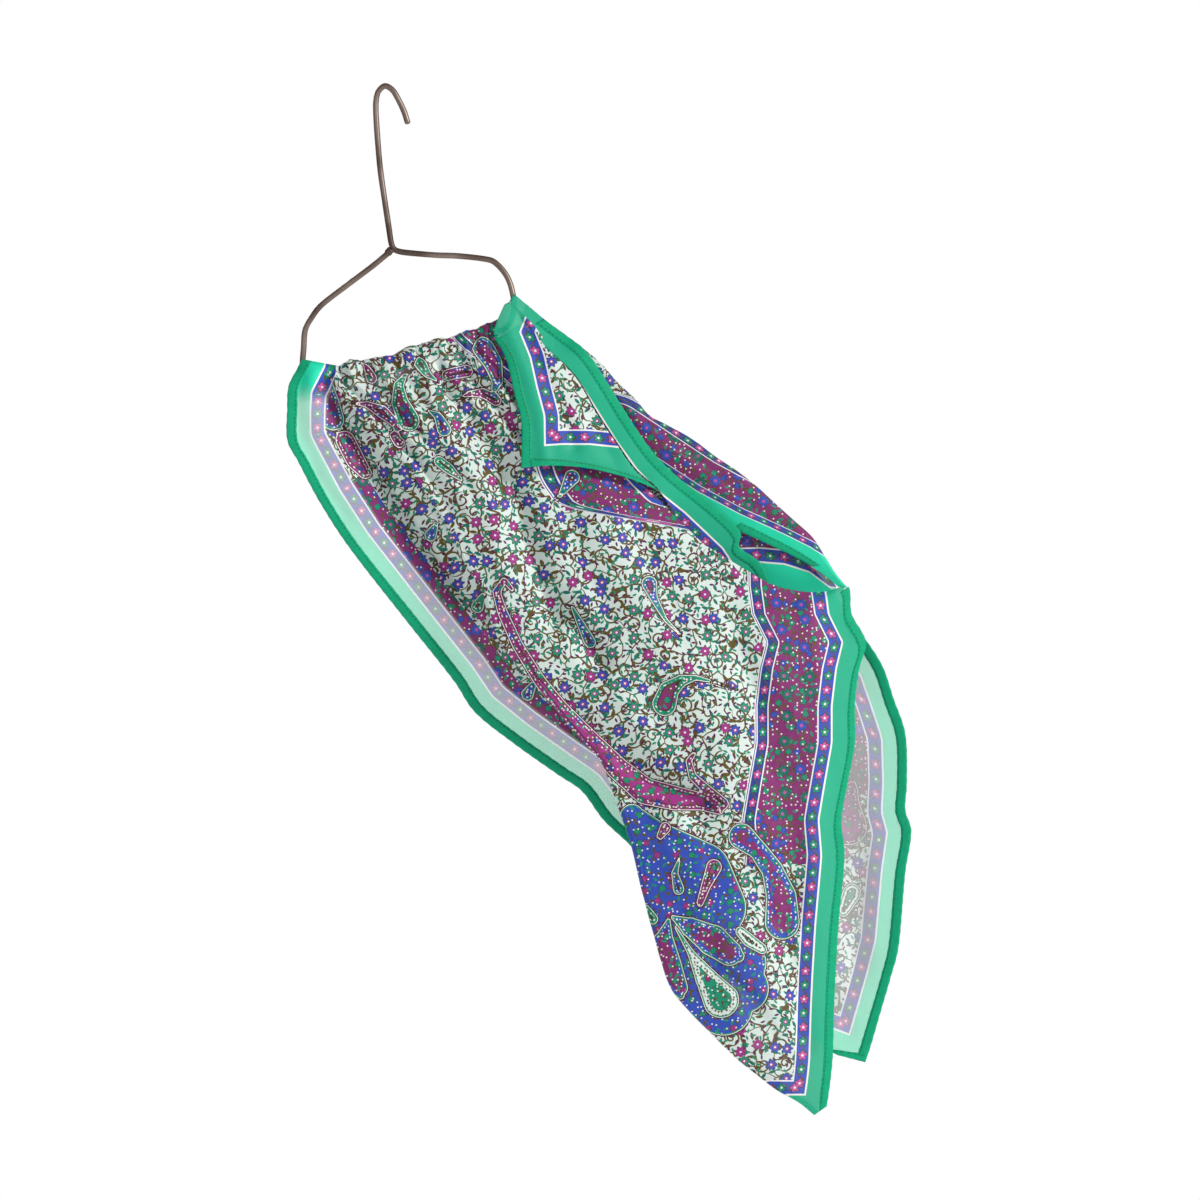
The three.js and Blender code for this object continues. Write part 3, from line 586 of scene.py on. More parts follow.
def new_object(name, points, faces, flat=None, smooth=True, weld=None):
    """A mesh object at the origin from places in millimetres, with the flat map in metres.
    Places nearer than the weld distance are joined, and the faces are turned outwards."""
    mesh = bpy.data.meshes.new(name)
    mesh.from_pydata((points * MM).tolist(), [], faces)
    mesh.update()
    if flat is not None:
        corners = np.zeros(len(mesh.loops), dtype=np.int64)
        mesh.loops.foreach_get("vertex_index", corners)
        layer = mesh.uv_layers.new(name="flat")
        layer.data.foreach_set("uv", (flat[corners] * MM).astype(np.float32).ravel())
    if smooth:
        mesh.polygons.foreach_set("use_smooth", np.ones(len(mesh.polygons), dtype=bool))
    shape = bmesh.new()
    shape.from_mesh(mesh)
    if weld:
        bmesh.ops.remove_doubles(shape, verts=shape.verts, dist=weld)
    bmesh.ops.recalc_face_normals(shape, faces=shape.faces)
    shape.to_mesh(mesh)
    shape.free()
    made = bpy.data.objects.new(name, mesh)
    bpy.context.scene.collection.objects.link(made)
    return made


def surface(name, grids, thickness):
    """A cloth piece from one or more grids of (x, y, z, p, q), welded where they meet, with
    a thin wall."""
    points, flats, faces, count = [], [], [], 0
    for grid in grids:
        x, y, z, p, q = np.broadcast_arrays(*grid)
        points.append(np.stack([x, y, z], axis=-1).reshape(-1, 3))
        flats.append(np.stack([p, q], axis=-1).reshape(-1, 2))
        faces += (grid_faces(*x.shape) + count).tolist()
        count += x.size
    made = new_object(name, np.concatenate(points), faces, np.concatenate(flats), weld=WELD)
    wall = made.modifiers.new("Wall", "SOLIDIFY")
    wall.thickness = thickness
    wall.offset = 0
    return made


def hem_band(name, place, t, seed):
    """A turned hem: a flat ring of places, wide across the hem and thin through it, carried
    along the edge. place(u, t) gives the cloth with u 0 at the edge and 1 at its inner side."""
    outer = np.stack(place(np.zeros((1, 1)), t), axis=-1)[:, 0]
    inner = np.stack(place(np.ones((1, 1)), t), axis=-1)[:, 0]
    across = inner - outer
    normal = np.cross(np.gradient(outer, axis=0), across)
    normal /= np.linalg.norm(normal, axis=1)[:, None] + 1e-9
    angles = np.linspace(0, 2 * math.pi, HEM_SIDES, endpoint=False)
    side = np.sign(np.cos(angles)) * np.abs(np.cos(angles)) ** 0.6
    high = np.sign(np.sin(angles)) * np.abs(np.sin(angles)) ** 0.8
    run = run_along(outer)
    pucker = 0.12 * np.sin(run * 1.9 + seed) + 0.1 * np.sin(run * 0.73 + 2 * seed)
    half = HEM_HALF_THICKNESS + 0.5 * pucker
    rim = 1 + 0.035 * np.sin(run * 0.9 + seed)
    ring = (
        ((outer + inner) / 2)[:, None]
        + across[:, None] * 0.5 * side[None, :, None] * rim[:, None, None]
        + normal[:, None] * (half[:, None] * high[None, :])[:, :, None]
    )
    made = new_object(name, ring.reshape(-1, 3), tube_faces(len(t), HEM_SIDES))
    return made, outer, across, normal, half


def values_at(places, run, values):
    """Rows of three values at places along a run."""
    return np.stack([np.interp(places, run, values[:, k]) for k in range(3)], axis=-1)


def stitch_row(name, outer, across, normal, half, pitch):
    """A row of short stitches on both sides of a hem: small six-sided spindles, each about
    three fifths of the pitch long, worked out as one array."""
    run = run_along(outer)
    starts = np.arange(pitch, run[-1] - pitch, pitch)
    line = outer + across * STITCH_INSET
    around = np.linspace(0, 2 * math.pi, STITCH_SIDES, endpoint=False)[None, :, None]
    shell = tube_faces(len(STITCH_RINGS), STITCH_SIDES)
    shifts = np.arange(len(starts))[:, None, None] * len(STITCH_RINGS) * STITCH_SIDES
    points, faces, count = [], [], 0
    for side in (1, -1):
        lifted = line + normal * (side * half * STITCH_LIFT)[:, None]
        first = values_at(starts, run, lifted)
        go = values_at(starts + pitch * STITCH_SHARE, run, lifted) - first
        up = values_at(starts, run, normal) * side
        wide = np.cross(go / np.linalg.norm(go, axis=1)[:, None], up)
        rim = np.cos(around) * wide[:, None] + np.sin(around) * up[:, None]
        rings = [(first + go * share)[:, None] + radius * rim for share, radius in STITCH_RINGS]
        points.append(np.stack(rings, axis=1).reshape(-1, 3))
        for part in (np.array(shell[:-2]), np.array(shell[-2:])):
            faces += (part[None] + shifts + count).reshape(-1, part.shape[1]).tolist()
        count += len(points[-1])
    return new_object(name, np.concatenate(points), faces, smooth=False)


def wire_tube(name, line, radius, sides, steps):
    """A round wire carried along a smooth line in the plane y = 0, with faint hammer marks."""
    points = np.array(line, dtype=float)
    spans = np.concatenate([[0], np.cumsum(np.hypot(*np.diff(points, axis=0).T) ** 0.5)])
    path = through_rows(points, spans, np.linspace(0, spans[-1], steps))
    tangent = np.gradient(path, axis=0)
    tangent /= np.linalg.norm(tangent, axis=1)[:, None]
    run = run_along(path)
    angles = np.linspace(0, 2 * math.pi, sides, endpoint=False)
    marks = 1 + 0.012 * np.sin(run[:, None] * 0.21 + 2 * angles[None])
    cap = np.minimum(1, np.sqrt(np.clip(np.minimum(run, run[-1] - run) / 0.8, 0, 1)) + 0.35)
    reach = radius * marks * cap[:, None]
    out = reach * np.cos(angles)[None]
    x = path[:, 0:1] - tangent[:, 1:2] * out
    y = reach * np.sin(angles)[None]
    z = path[:, 1:2] + tangent[:, 0:1] * out
    return new_object(name, np.stack([x, y, z], axis=-1).reshape(-1, 3), tube_faces(steps, sides))


def bead(name, centre, radii, sides, rings):
    """A lumpy bead: a ball with a few low waves on it."""
    across = np.linspace(0, 2 * math.pi, sides, endpoint=False)[None]
    down = np.linspace(0.02, math.pi - 0.02, rings)[:, None]
    lump = 1 + 0.06 * np.sin(3 * across + 2 * down) + 0.05 * np.sin(5 * down)
    x = centre[0] + radii[0] * lump * np.sin(down) * np.cos(across)
    y = radii[1] * lump * np.sin(down) * np.sin(across)
    z = centre[1] + radii[2] * lump * np.cos(down) * np.ones_like(across)
    return new_object(name, np.stack([x, y, z], axis=-1).reshape(-1, 3), tube_faces(rings, sides))


# Materials

def node_with(operation):
    """A method that adds one Math node with this value first, and its reflected form."""
    def first(self, *others):
        return self.op(operation, self, *others)

    def reflected(self, other):
        return self.op(operation, other, self)

    return first, reflected


class Value:
    """A shader value whose Python operators add Math nodes."""

    def __init__(self, tree, socket):
        self.tree = tree
        self.socket = socket

    def op(self, operation, *values):
        node = self.tree.nodes.new("ShaderNodeMath")
        node.operation = operation
        for slot, value in zip(node.inputs, values):
            if isinstance(value, Value):
                self.tree.links.new(value.socket, slot)
            else:
                slot.default_value = value
        return Value(self.tree, node.outputs[0])

    __add__, __radd__ = node_with("ADD")
    __sub__, __rsub__ = node_with("SUBTRACT")
    __mul__, __rmul__ = node_with("MULTIPLY")
    __truediv__, __rtruediv__ = node_with("DIVIDE")
    __lt__, __gt__ = node_with("LESS_THAN")[0], node_with("GREATER_THAN")[0]
    __abs__ = node_with("ABSOLUTE")[0]
    lesser, greater = node_with("MINIMUM")[0], node_with("MAXIMUM")[0]
    part, whole = node_with("FRACT")[0], node_with("FLOOR")[0]
    sine, cosine = node_with("SINE")[0], node_with("COSINE")[0]
    root, angle = node_with("SQRT")[0], node_with("ARCTAN2")[0]

    def within(self, low, high):
        """1 between two limits."""
        return (self > low) * (self < high)


class Shading:
    """A material and the few ways its nodes are added."""

    def __init__(self, name):
        self.material = bpy.data.materials.new(name)
        self.material.use_nodes = True
        self.tree = self.material.node_tree
        self.surface = self.tree.nodes["Principled BSDF"]

    def node(self, kind, settings=None, inputs=None):
        """One node: its settings first, then the values or links of its sockets."""
        node = self.tree.nodes.new(kind)
        for key, value in (settings or {}).items():
            setattr(node, key, value)
        for key, value in (inputs or {}).items():
            self.feed(node.inputs[key], value)
        return node

    def feed(self, slot, value):
        """Links a value or a socket into a slot, or sets the slot."""
        if isinstance(value, Value):
            self.tree.links.new(value.socket, slot)
        elif isinstance(value, bpy.types.NodeSocket):
            self.tree.links.new(value, slot)
        else:
            slot.default_value = value

    def finish(self, **values):
        """Feeds the surface's own sockets, with _ for each space in their names."""
        for key, value in values.items():
            self.feed(self.surface.inputs[key.replace("_", " ")], value)

    def value(self, socket):
        return Value(self.tree, socket)

    def split(self, vector):
        """The three parts of a vector."""
        node = self.node("ShaderNodeSeparateXYZ", None, {"Vector": vector})
        return [self.value(socket) for socket in node.outputs]

    def place(self):
        """The place on the object."""
        return self.node("ShaderNodeTexCoord").outputs["Object"]

    def mix(self, factor, a, b):
        """Colour a where the factor is 0 and b where it is 1."""
        node = self.node("ShaderNodeMix", {"data_type": "RGBA"}, {0: factor, 6: a, 7: b})
        return node.outputs[2]


def linear(code):
    """A colour from its six-figure code, in linear light."""
    parts = [int(code[k:k + 2], 16) / 255 for k in (0, 2, 4)]
    light = [c / 12.92 if c <= 0.04045 else ((c + 0.055) / 1.055) ** 2.4 for c in parts]
    return (*light, 1.0)


WHITE = linear("F0EEEA")
PALE = linear("D9E6E1")
# The plain green in two brightnesses: a lighter copy with painted light for a single hanging
# layer, and a darker copy with painted shade for doubled cloth.
LIT_SINGLE_GREEN = linear("1EDCB0")
SHADED_DOUBLED_GREEN = linear("1FAE88")
BLUE = linear("3450B8")
DEEP_BLUE = linear("2A3F96")
PINK = linear("C4509C")
MAGENTA = linear("A33288")
PLUM = linear("862B70")
DEEP_PLUM = linear("5E1F50")
TEAL = linear("158F70")
DEEP_TEAL = linear("0F6F62")
OLIVE = linear("5E5020")
BROWN = linear("40341A")


def flat_coordinates(shade):
    """The piece's flat map in millimetres: distances from its two edges."""
    p, q, _ = shade.split(shade.node("ShaderNodeUVMap", {"uv_map": "flat"}).outputs[0])
    return p * 1000, q * 1000


def flower(shade, x, y, radius, petals, turn=0.0):
    """How deep a place lies in a flower: over 0 inside. The rim is radius x (1 + 0.22 cos)."""
    length = (x * x + y * y).root()
    lobes = ((y.angle(x) + turn) * petals).cosine()
    return radius * (1 + 0.22 * lobes) - length, length


def scattered(shade, vector, scale, randomness):
    """Scattered cells: the place in its cell, in millimetres, and three random numbers."""
    cells = shade.node(
        "ShaderNodeTexVoronoi",
        {"voronoi_dimensions": "2D", "feature": "F1"},
        {"Vector": vector, "Scale": scale, "Randomness": randomness},
    )
    offset = shade.node("ShaderNodeVectorMath", {"operation": "SUBTRACT"},
                        {0: vector, 1: cells.outputs["Position"]})
    x, y, _ = shade.split(offset.outputs[0])
    chance = shade.node("ShaderNodeSeparateColor", None, {"Color": cells.outputs["Color"]})
    return x * 1000, y * 1000, [shade.value(chance.outputs[k]) for k in range(3)]


def leaves(shade, colour, vector, scale, length, tones):
    """Small leaves, each a lens: distance off its axis + a share of the square along it."""
    x, y, chance = scattered(shade, vector, scale, 0.9)
    lean = chance[2] * FULL_TURN
    along = x * lean.cosine() + y * lean.sine()
    off = y * lean.cosine() - x * lean.sine()
    width = length * 0.4
    body = abs(off) + along * along * (width / length**2)
    tone = shade.mix(chance[0] > 0.5, *tones)
    return shade.mix((body < width) * (chance[1] > 0.12), colour, tone)


def petals_on(shade, colour, depth, rim, shown, tone):
    """Lays a flower on a colour: a brown rim, then its own tone."""
    colour = shade.mix((depth > -rim) * shown, colour, BROWN)
    return shade.mix((depth > 0) * shown, colour, tone)


def field_print(shade, vector):
    """The open field: pale ground, curling stems, leaves, buds and flowers."""
    sway = shade.node("ShaderNodeTexNoise", {"noise_dimensions": "2D"},
                      {"Vector": vector, "Scale": 70.0, "Detail": 1.0})
    push = shade.node("ShaderNodeVectorMath", {"operation": "MULTIPLY_ADD"},
                      {0: sway.outputs["Color"], 1: (0.016, 0.016, 0.0), 2: vector})
    net = shade.node("ShaderNodeTexVoronoi",
                     {"voronoi_dimensions": "2D", "feature": "DISTANCE_TO_EDGE"},
                     {"Vector": push.outputs[0], "Scale": 74.0, "Randomness": 1.0})
    colour = shade.mix(shade.value(net.outputs["Distance"]) < 0.042, PALE, OLIVE)
    x, y, chance = scattered(shade, vector, 58.0, 0.9)
    reach = (x * x + y * y).root()
    turn = (y.angle(x) / FULL_TURN + reach / 3.9 + chance[0]).part()
    colour = shade.mix((abs(turn - 0.5) < 0.15) * (reach < 5.6), colour, OLIVE)
    colour = leaves(shade, colour, vector, 150.0, 2.7, (OLIVE, DEEP_TEAL))
    colour = leaves(shade, colour, vector, 231.0, 1.8, (TEAL, DEEP_PLUM))
    x, y, luck = scattered(shade, vector, 79.0, 0.85)
    depth, length = flower(shade, x, y, 3.1, 7, luck[2] * FULL_TURN)
    tone = shade.mix(luck[0] > 0.45, BLUE, shade.mix(luck[0] > 0.72, MAGENTA, TEAL))
    shown = luck[1] > 0.25
    colour = petals_on(shade, colour, depth, 0.5, shown, tone)
    colour = shade.mix((length < 1.5) * shown, colour, MAGENTA)
    return shade.mix((length < 0.7) * shown, colour, WHITE)


def dense_print(shade, vector, ground, second):
    """Close print inside the large motifs: flowers, leaves and pale seeds on one ground."""
    colour = leaves(shade, ground, vector, 190.0, 2.1, (OLIVE, TEAL))
    x, y, chance = scattered(shade, vector, 118.0, 0.85)
    depth, _ = flower(shade, x, y, 1.9, 6, chance[2] * FULL_TURN)
    tone = shade.mix(chance[0] > 0.5, second, TEAL)
    colour = petals_on(shade, colour, depth, 0.4, chance[1] > 0.3, tone)
    x, y, luck = scattered(shade, vector, 300.0, 0.9)
    return shade.mix(((x * x + y * y) < 0.3) * (luck[0] > 0.55), colour, WHITE)


def stripe_print(shade, across, along, ground):
    """A floral stripe: flowers of two colours in turn with olive twigs between them."""
    step = along / FLOWER_PITCH
    x = (step.part() - 0.5) * FLOWER_PITCH
    depth, length = flower(shade, x, across, 2.6, 5)
    turn = (step.whole() * 0.5).part() > 0.25
    twig = abs(across - (along * 0.66).sine() * 1.8) < 0.6
    colour = shade.mix(twig, ground, OLIVE)
    colour = petals_on(shade, colour, depth, 0.5, 1, shade.mix(turn, PINK, TEAL))
    return shade.mix(length < 0.8, colour, WHITE)


def band_print(shade, vector, across, along):
    """The broad band: plum ground with flowers, leaves and pale seeds, along a wavy stem."""
    colour = shade.mix(abs(across - (along * 0.21).sine() * 9) < 0.8, PLUM, OLIVE)
    colour = dense_print(shade, vector, colour, BLUE)
    x, y, chance = scattered(shade, vector, 62.0, 0.5)
    depth, length = flower(shade, x, y, 3.4, 8, chance[2] * FULL_TURN)
    tone = shade.mix(chance[0] > 0.5, BLUE, DEEP_TEAL)
    colour = petals_on(shade, colour, depth, 0.5, 1, tone)
    return shade.mix(length < 1.1, colour, PINK)


def motif_print(shade, colour, vector, name, cored=True):
    """The large motifs. The attribute holds how deep a place lies in its motif in
    millimetres, the motif's tone, and that depth as a share of its greatest depth."""
    reader = shade.node("ShaderNodeAttribute", {"attribute_name": name})
    depth, tone, share = shade.split(reader.outputs["Vector"])
    x, y, _ = scattered(shade, vector, 420.0, 0.55)
    dot = (x * x + y * y) < 0.5
    plum = dense_print(shade, vector, PLUM, BLUE)
    blue = dense_print(shade, vector, BLUE, MAGENTA)
    teal = dense_print(shade, vector, TEAL, PLUM)
    fill = shade.mix(tone > 0.5, plum, blue)
    fill = shade.mix(tone > 1.5, fill, teal)
    fill = shade.mix(tone > 2.5, fill, shade.mix(dot, PALE, OLIVE))
    colour = shade.mix((depth > -1.1) * dot, colour, DEEP_PLUM)
    for starts, line in ((0, BROWN), (0.7, WHITE), (1.15, TEAL)):
        colour = shade.mix(depth > starts, colour, line)
    colour = shade.mix(depth > 2.0 - (tone < 0.5) * 0.85, colour, fill)
    colour = shade.mix(depth.within(2.4, 3.2) * (share > 0.2) * dot, colour, WHITE)
    if not cored:
        return colour
    core = shade.mix(tone > 0.5, dense_print(shade, vector, MAGENTA, DEEP_BLUE), plum)
    core = shade.mix(tone > 2.5, core, teal)
    inner = (depth > 3.6) * (share > 0.42)
    colour = shade.mix(inner, colour, BROWN)
    return shade.mix(inner * (depth > 4.3), colour, core)


def framed_print(shade, vector, near, far, band_ends):
    """The field within the broad band and the inner stripe. Near the scarf's corners both
    give way to the field, and a narrow band has no inner stripe."""
    field = field_print(shade, vector)
    broad = band_print(shade, vector, near - BAND_MIDDLE, far)
    inner = stripe_print(shade, near - INNER_MIDDLE, far, DEEP_BLUE)
    along = far > CORNER_CLEAR
    wide = along * (band_ends >= BAND_ENDS)
    colour = shade.mix((near < INNER_ENDS) * wide, field, inner)
    colour = shade.mix((near < band_ends) * along, colour, broad)
    lines = near.within(63.2, 64.2) + near.within(72, 72.9) + near.within(73.6, 74.4)
    return shade.mix(lines * wide, colour, WHITE)


def printed_silk(name, offset, cover, green, motifs=False, band_ends=BAND_ENDS, lined=None):
    """The printed voile: the frame of stripes from the nearer edge, the open field beyond,
    and the large motifs. Where it is lined by more cloth it hides more."""
    shade = Shading(name)
    p, q = flat_coordinates(shade)
    near = p.lesser(q)
    far = p.greater(q)
    x, y, z = shade.split(shade.place())
    joined = shade.node("ShaderNodeCombineXYZ", None,
                        {"X": x + y * 0.22 + offset, "Y": z + y * 0.1 - offset})
    vector = joined.outputs[0]
    colour = framed_print(shade, vector, near, far, band_ends)
    if motifs:
        colour = motif_print(shade, colour, vector, "medallion", cored=False)
        colour = motif_print(shade, colour, vector, "motif")
    outer = stripe_print(shade, near - STRIPE_MIDDLE, far, BLUE)
    colour = shade.mix(near < STRIPE_ENDS, colour, outer)
    colour = shade.mix(near.within(15.4, 16.6) + near.within(25, 26), colour, WHITE)
    # The plain green strip in the copy the caller gives: painted light for single cloth, painted
    # shade for doubled cloth.
    colour = shade.mix(near < GREEN_ENDS, colour, green)
    weave = shade.node("ShaderNodeTexNoise", {"noise_dimensions": "2D"},
                       {"Vector": vector, "Scale": 420.0, "Detail": 1.0})
    bump = shade.node("ShaderNodeBump", None, {"Strength": 0.18, "Distance": 0.0006,
                                               "Height": weave.outputs[0]})
    if lined:
        from_edge, from_height = lined
        inward = ((near - from_edge) / 3).greater(0).lesser(1)
        upward = ((z * 1000 - from_height) / 14).greater(0).lesser(1)
        cover = cover + (LINED_COVER - cover) * inward.greater(upward)
    shade.finish(Base_Color=colour, Roughness=0.55, Specular_IOR_Level=0.25,
                 Normal=bump.outputs[0], Alpha=cover)
    return shade.material


def plain_finish(name, colour, roughness):
    """One even colour with a slight mottle."""
    shade = Shading(name)
    mottle = shade.node("ShaderNodeTexNoise", None,
                        {"Vector": shade.place(), "Scale": 260.0, "Detail": 2.0})
    dark = tuple(c * 0.72 for c in colour[:3]) + (1.0,)
    shade.finish(Base_Color=shade.mix(mottle.outputs[0], dark, colour), Roughness=roughness,
                 Specular_IOR_Level=0.15)
    return shade.material


def wire_finish():
    """Old drawn steel: brown grey with lighter patches, partly wear and partly a painted
    highlight.
    """
    shade = Shading("dull_steel_wire")
    wear_and_sheen = shade.node("ShaderNodeTexNoise", None, {"Vector": shade.place(), "Scale": 24.0,
                                                   "Detail": 2.0, "Roughness": 0.5})
    # Lighter patches in the colour of the wire's highlight: partly wear, partly painted highlight.
    worn_and_sheen = ((shade.value(wear_and_sheen.outputs[0]) - 0.42) * 4).greater(0).lesser(1)
    shade.finish(Base_Color=shade.mix(worn_and_sheen, linear("54443D"), linear("8C7C73")),
                 Roughness=0.5 - worn_and_sheen * 0.15, Metallic=0.65)
    return shade.material


class ScarfCloth(bpy.types.PropertyGroup):
    """Sizes of the cloth."""

    cover: bpy.props.FloatProperty(
        name="Cover",
        description="How much one face of the voile hides where it lies on more cloth",
        default=0.8, min=0, max=1, subtype="FACTOR",
    )
    sheer_cover: bpy.props.FloatProperty(
        name="Sheer cover",
        description="How much one face of the voile hides where it hangs alone",
        default=0.42, min=0, max=1, subtype="FACTOR",
    )
    wall: bpy.props.FloatProperty(
        name="Cloth thickness", description="Thickness of the dressed cloth",
        default=0.0003, min=0.0001, max=0.002, unit="LENGTH",
    )
    stitch_pitch: bpy.props.FloatProperty(
        name="Stitch pitch", description="Distance from one stitch to the next, in millimetres",
        default=3.0, min=1, max=8,
    )
    hem_colour: bpy.props.FloatVectorProperty(
        name="Hem colour", description="Colour of the turned hems",
        default=linear("0FA679")[:3], min=0, max=1, subtype="COLOR",
    )


def dress(piece, material, nodes):
    """Gives a piece its finish, puts it under the root body and hides the solids it stands for."""
    piece.data.materials.append(material)
    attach(piece, "root")
    if nodes:
        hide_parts(*nodes)
    return piece


class SCARF_OT_hanger(bpy.types.Operator):
    """Make the wire hanger"""

    bl_idname = "scarf.hanger"
    bl_label = "Wire hanger"

    def execute(self, context):
        finish = wire_finish()
        wire = wire_tube("hanger_wire", WIRE_LINE, WIRE_RADIUS, 16, 420)
        dress(wire, finish,
              ["hook_shaft", "right_arm", "bottom_bar", "left_arm"])
        weld = bead("neck_bead", (2.2, -110.4), (3.0, 2.5, 2.8), 18, 12)
        dress(weld, finish, ["neck_weld"])
        return {"FINISHED"}


HEM_START = {
    "front": share_of_row(FRONT_SECTIONS, 13),
    "back": share_of_row(BACK_SECTIONS, 10.3),
    "under": share_of_row(BACK_SECTIONS, 16),
    "shoulder": share_of_row(SHOULDER_SECTIONS, 12),
    "flap": share_of_row(FLAP_SECTIONS, 2),
    "side": share_of_row(SIDE_SECTIONS, 1),
}
SHOULDER_HEM_END = share_of_row(SHOULDER_SECTIONS, 15.4)

# Large motifs: tone (0 plum, 1 blue, 2 teal, 3 pale), then the places x z along the motif's
# middle with its half width there.
FRONT_MOTIFS = [
    (0, [(86.4, -340.7, 2), (80.9, -333.9, 2.7), (75.5, -342, 3.4), (79.6, -355.6, 4.1),
         (89.8, -378, 4.4), (104.7, -402, 4.8), (119.7, -421, 5.4), (138.7, -441.3, 6.5),
         (157.8, -461.7, 8.2), (176, -476.7, 9.5), (196.5, -481.4, 8.8), (213.5, -483.5, 6.8),
         (225.8, -489, 4)]),
    (0, [(208.8, -450.8, 2.2), (205.4, -456.3, 2.8), (208, -466.5, 3.4), (217.6, -475.3, 4),
         (228.5, -484.8, 4.6)]),
    (1, [(268.6, -565, 12.5), (268, -548, 11), (262, -530, 8), (252, -516, 7),
         (241, -507, 9.5)]),
    (2, [(189, -417.5, 8.8), (191.8, -408.7, 7.5), (199.9, -402, 4.8), (210, -399.8, 2.4),
         (223.7, -403.2, 1.4), (239.4, -408.7, 0.8)]),
    (1, [(178.8, -336.6, 6), (181.6, -346, 3.4), (189.7, -361, 2), (199.9, -371.3, 1.4)]),
    (1, [(138.7, -376, 4.8), (132.6, -363.8, 3.4), (126.5, -351.6, 1.6)]),
    (1, [(126.5, -264.5, 6), (120.4, -274, 3), (115.6, -280.8, 1.2)]),
    (2, [(36.7, -253.6, 4.2), (43.5, -259, 4.2), (51.7, -266, 1.8)]),
    (0, [(9.5, -240.7, 4.5), (5.4, -236, 3.4), (10, -231, 2)]),
    (2, [(16, -226, 8), (10, -214, 6.5), (9, -202, 4), (14, -194, 2), (21, -191, 1)]),
    (0, [(-23, -214, 1), (-12, -215, 3), (-2, -220, 5), (6, -227, 3.5), (8, -234, 1.2)]),
    (0, [(42, -195, 4.5), (55, -192, 5)]),
    (0, [(75, -212, 4.5), (66, -207, 4), (56, -208, 2.5), (49, -213, 1)]),
    (1, [(66, -176, 8), (73, -187, 7), (76, -199, 4.5), (73, -208, 2)]),
    (1, [(40, -232, 5.5), (36, -223, 3.5), (29, -219, 1.2)]),
    (2, [(23, -186, 5), (28, -194, 3.5), (35, -199, 1.2)]),
    (0, [(-9.5, -197, 4.5), (-12, -190, 2.5), (-17, -186, 1)]),
    (1, [(194.5, -561.7, 2), (206.7, -568.5, 7.5), (221.7, -577.3, 11.5), (232.6, -585.5, 9.5),
         (238.7, -587.5, 5)]),
    (1, [(191.8, -563.7, 2), (188.4, -578.7, 8), (191.8, -595.7, 10), (198.6, -609.3, 7),
         (199.9, -614.7, 3.5)]),
    (3, [(196.5, -568.5, 1.4), (206.7, -585.5, 3), (216.9, -602.5, 8), (227, -617.4, 13)]),
    (0, [(222.4, -527.7, 6), (217, -540, 4), (213, -552, 3)]),
    (1, [(198.6, -542.6, 4.5), (196, -532, 3), (199, -522, 1.5)]),
    (2, [(181, -563, 4.5), (177, -556, 3)]),
    (0, [(189.7, -501.2, 4.5), (186, -507, 3)]),
    (3, [(240, -571, 4), (246, -577, 5), (255, -583, 4)]),
]
MEDALLION = [
    (1, [(167.3, -493.7, 9), (182.9, -514, 18), (213.5, -531, 21), (223.7, -555, 21),
         (206.7, -578.7, 29), (213.5, -609.3, 25)]),
    (1, [(172, -528, 17), (184, -552, 20), (186, -580, 18)]),
    (1, [(228.5, -621.5, 21)]),
    (1, [(242, -609.3, 18)]),
    (1, [(243.4, -592.3, 15)]),
]
LEFT_MOTIFS = [
    (1, [(-43.5, -196.5, 7), (-40.8, -211.5, 9), (-36, -225, 8)]),
    (0, [(-27.9, -238.7, 7), (-21, -252.3, 7), (-14.3, -261, 5)]),
    (1, [(29.9, -303.3, 5), (34, -296, 2.5)]),
    (2, [(62, -352, 5), (66, -344, 2.5)]),
    (1, [(96, -412, 5), (101, -403, 2.5)]),
]
BACK_MOTIFS = [
    (0, [(316, -503, 13), (314, -488, 10), (318, -476, 5)]),
    (3, [(318, -548, 7), (312, -560, 5)]),
    (1, [(240, -330, 9), (252, -345, 6), (262, -362, 2.5)]),
    (2, [(190, -350, 8), (200, -366, 5), (212, -380, 2)]),
]

# Motifs and medallion of each piece that has them.
PLACED_MOTIFS = {
    "front": (FRONT_MOTIFS, MEDALLION),
    "back": (BACK_MOTIFS, []),
    "left": (LEFT_MOTIFS, []),
}


def motif_depths(motifs, x, z):
    """For places x, z: how far they lie inside the deepest motif (half width less the
    distance from its middle), its tone, and that depth as a share of its largest half width."""
    deepest = np.full(np.shape(x), -50.0)
    tones = np.zeros(np.shape(x))
    greatest = np.ones(np.shape(x))
    for tone, course in motifs:
        here = np.full(np.shape(x), -50.0)
        starts = course if len(course) == 1 else course[:-1]
        ends = course if len(course) == 1 else course[1:]
        for (ax, az, ar), (bx, bz, br) in zip(starts, ends):
            span = (bx - ax) ** 2 + (bz - az) ** 2 + 1e-9
            f = np.clip(((x - ax) * (bx - ax) + (z - az) * (bz - az)) / span, 0, 1)
            away = np.hypot(x - ax - f * (bx - ax), z - az - f * (bz - az))
            here = np.maximum(here, ar + f * (br - ar) - away)
        better = here > deepest
        deepest = np.where(better, here, deepest)
        tones = np.where(better, tone, tones)
        greatest = np.where(better, max(row[2] for row in course), greatest)
    return np.stack([deepest, tones, deepest / greatest], axis=-1)


def mark_motifs(piece, name, motifs):
    """Stores the motif depths of a piece's own vertices as an attribute."""
    mesh = piece.data
    places = np.zeros(len(mesh.vertices) * 3)
    mesh.vertices.foreach_get("co", places)
    places = places.reshape(-1, 3) / MM
    marks = motif_depths(motifs, places[:, 0], places[:, 2])
    layer = mesh.attributes.new(name, "FLOAT_VECTOR", "POINT")
    layer.data.foreach_set("vector", marks.astype(np.float32).ravel())


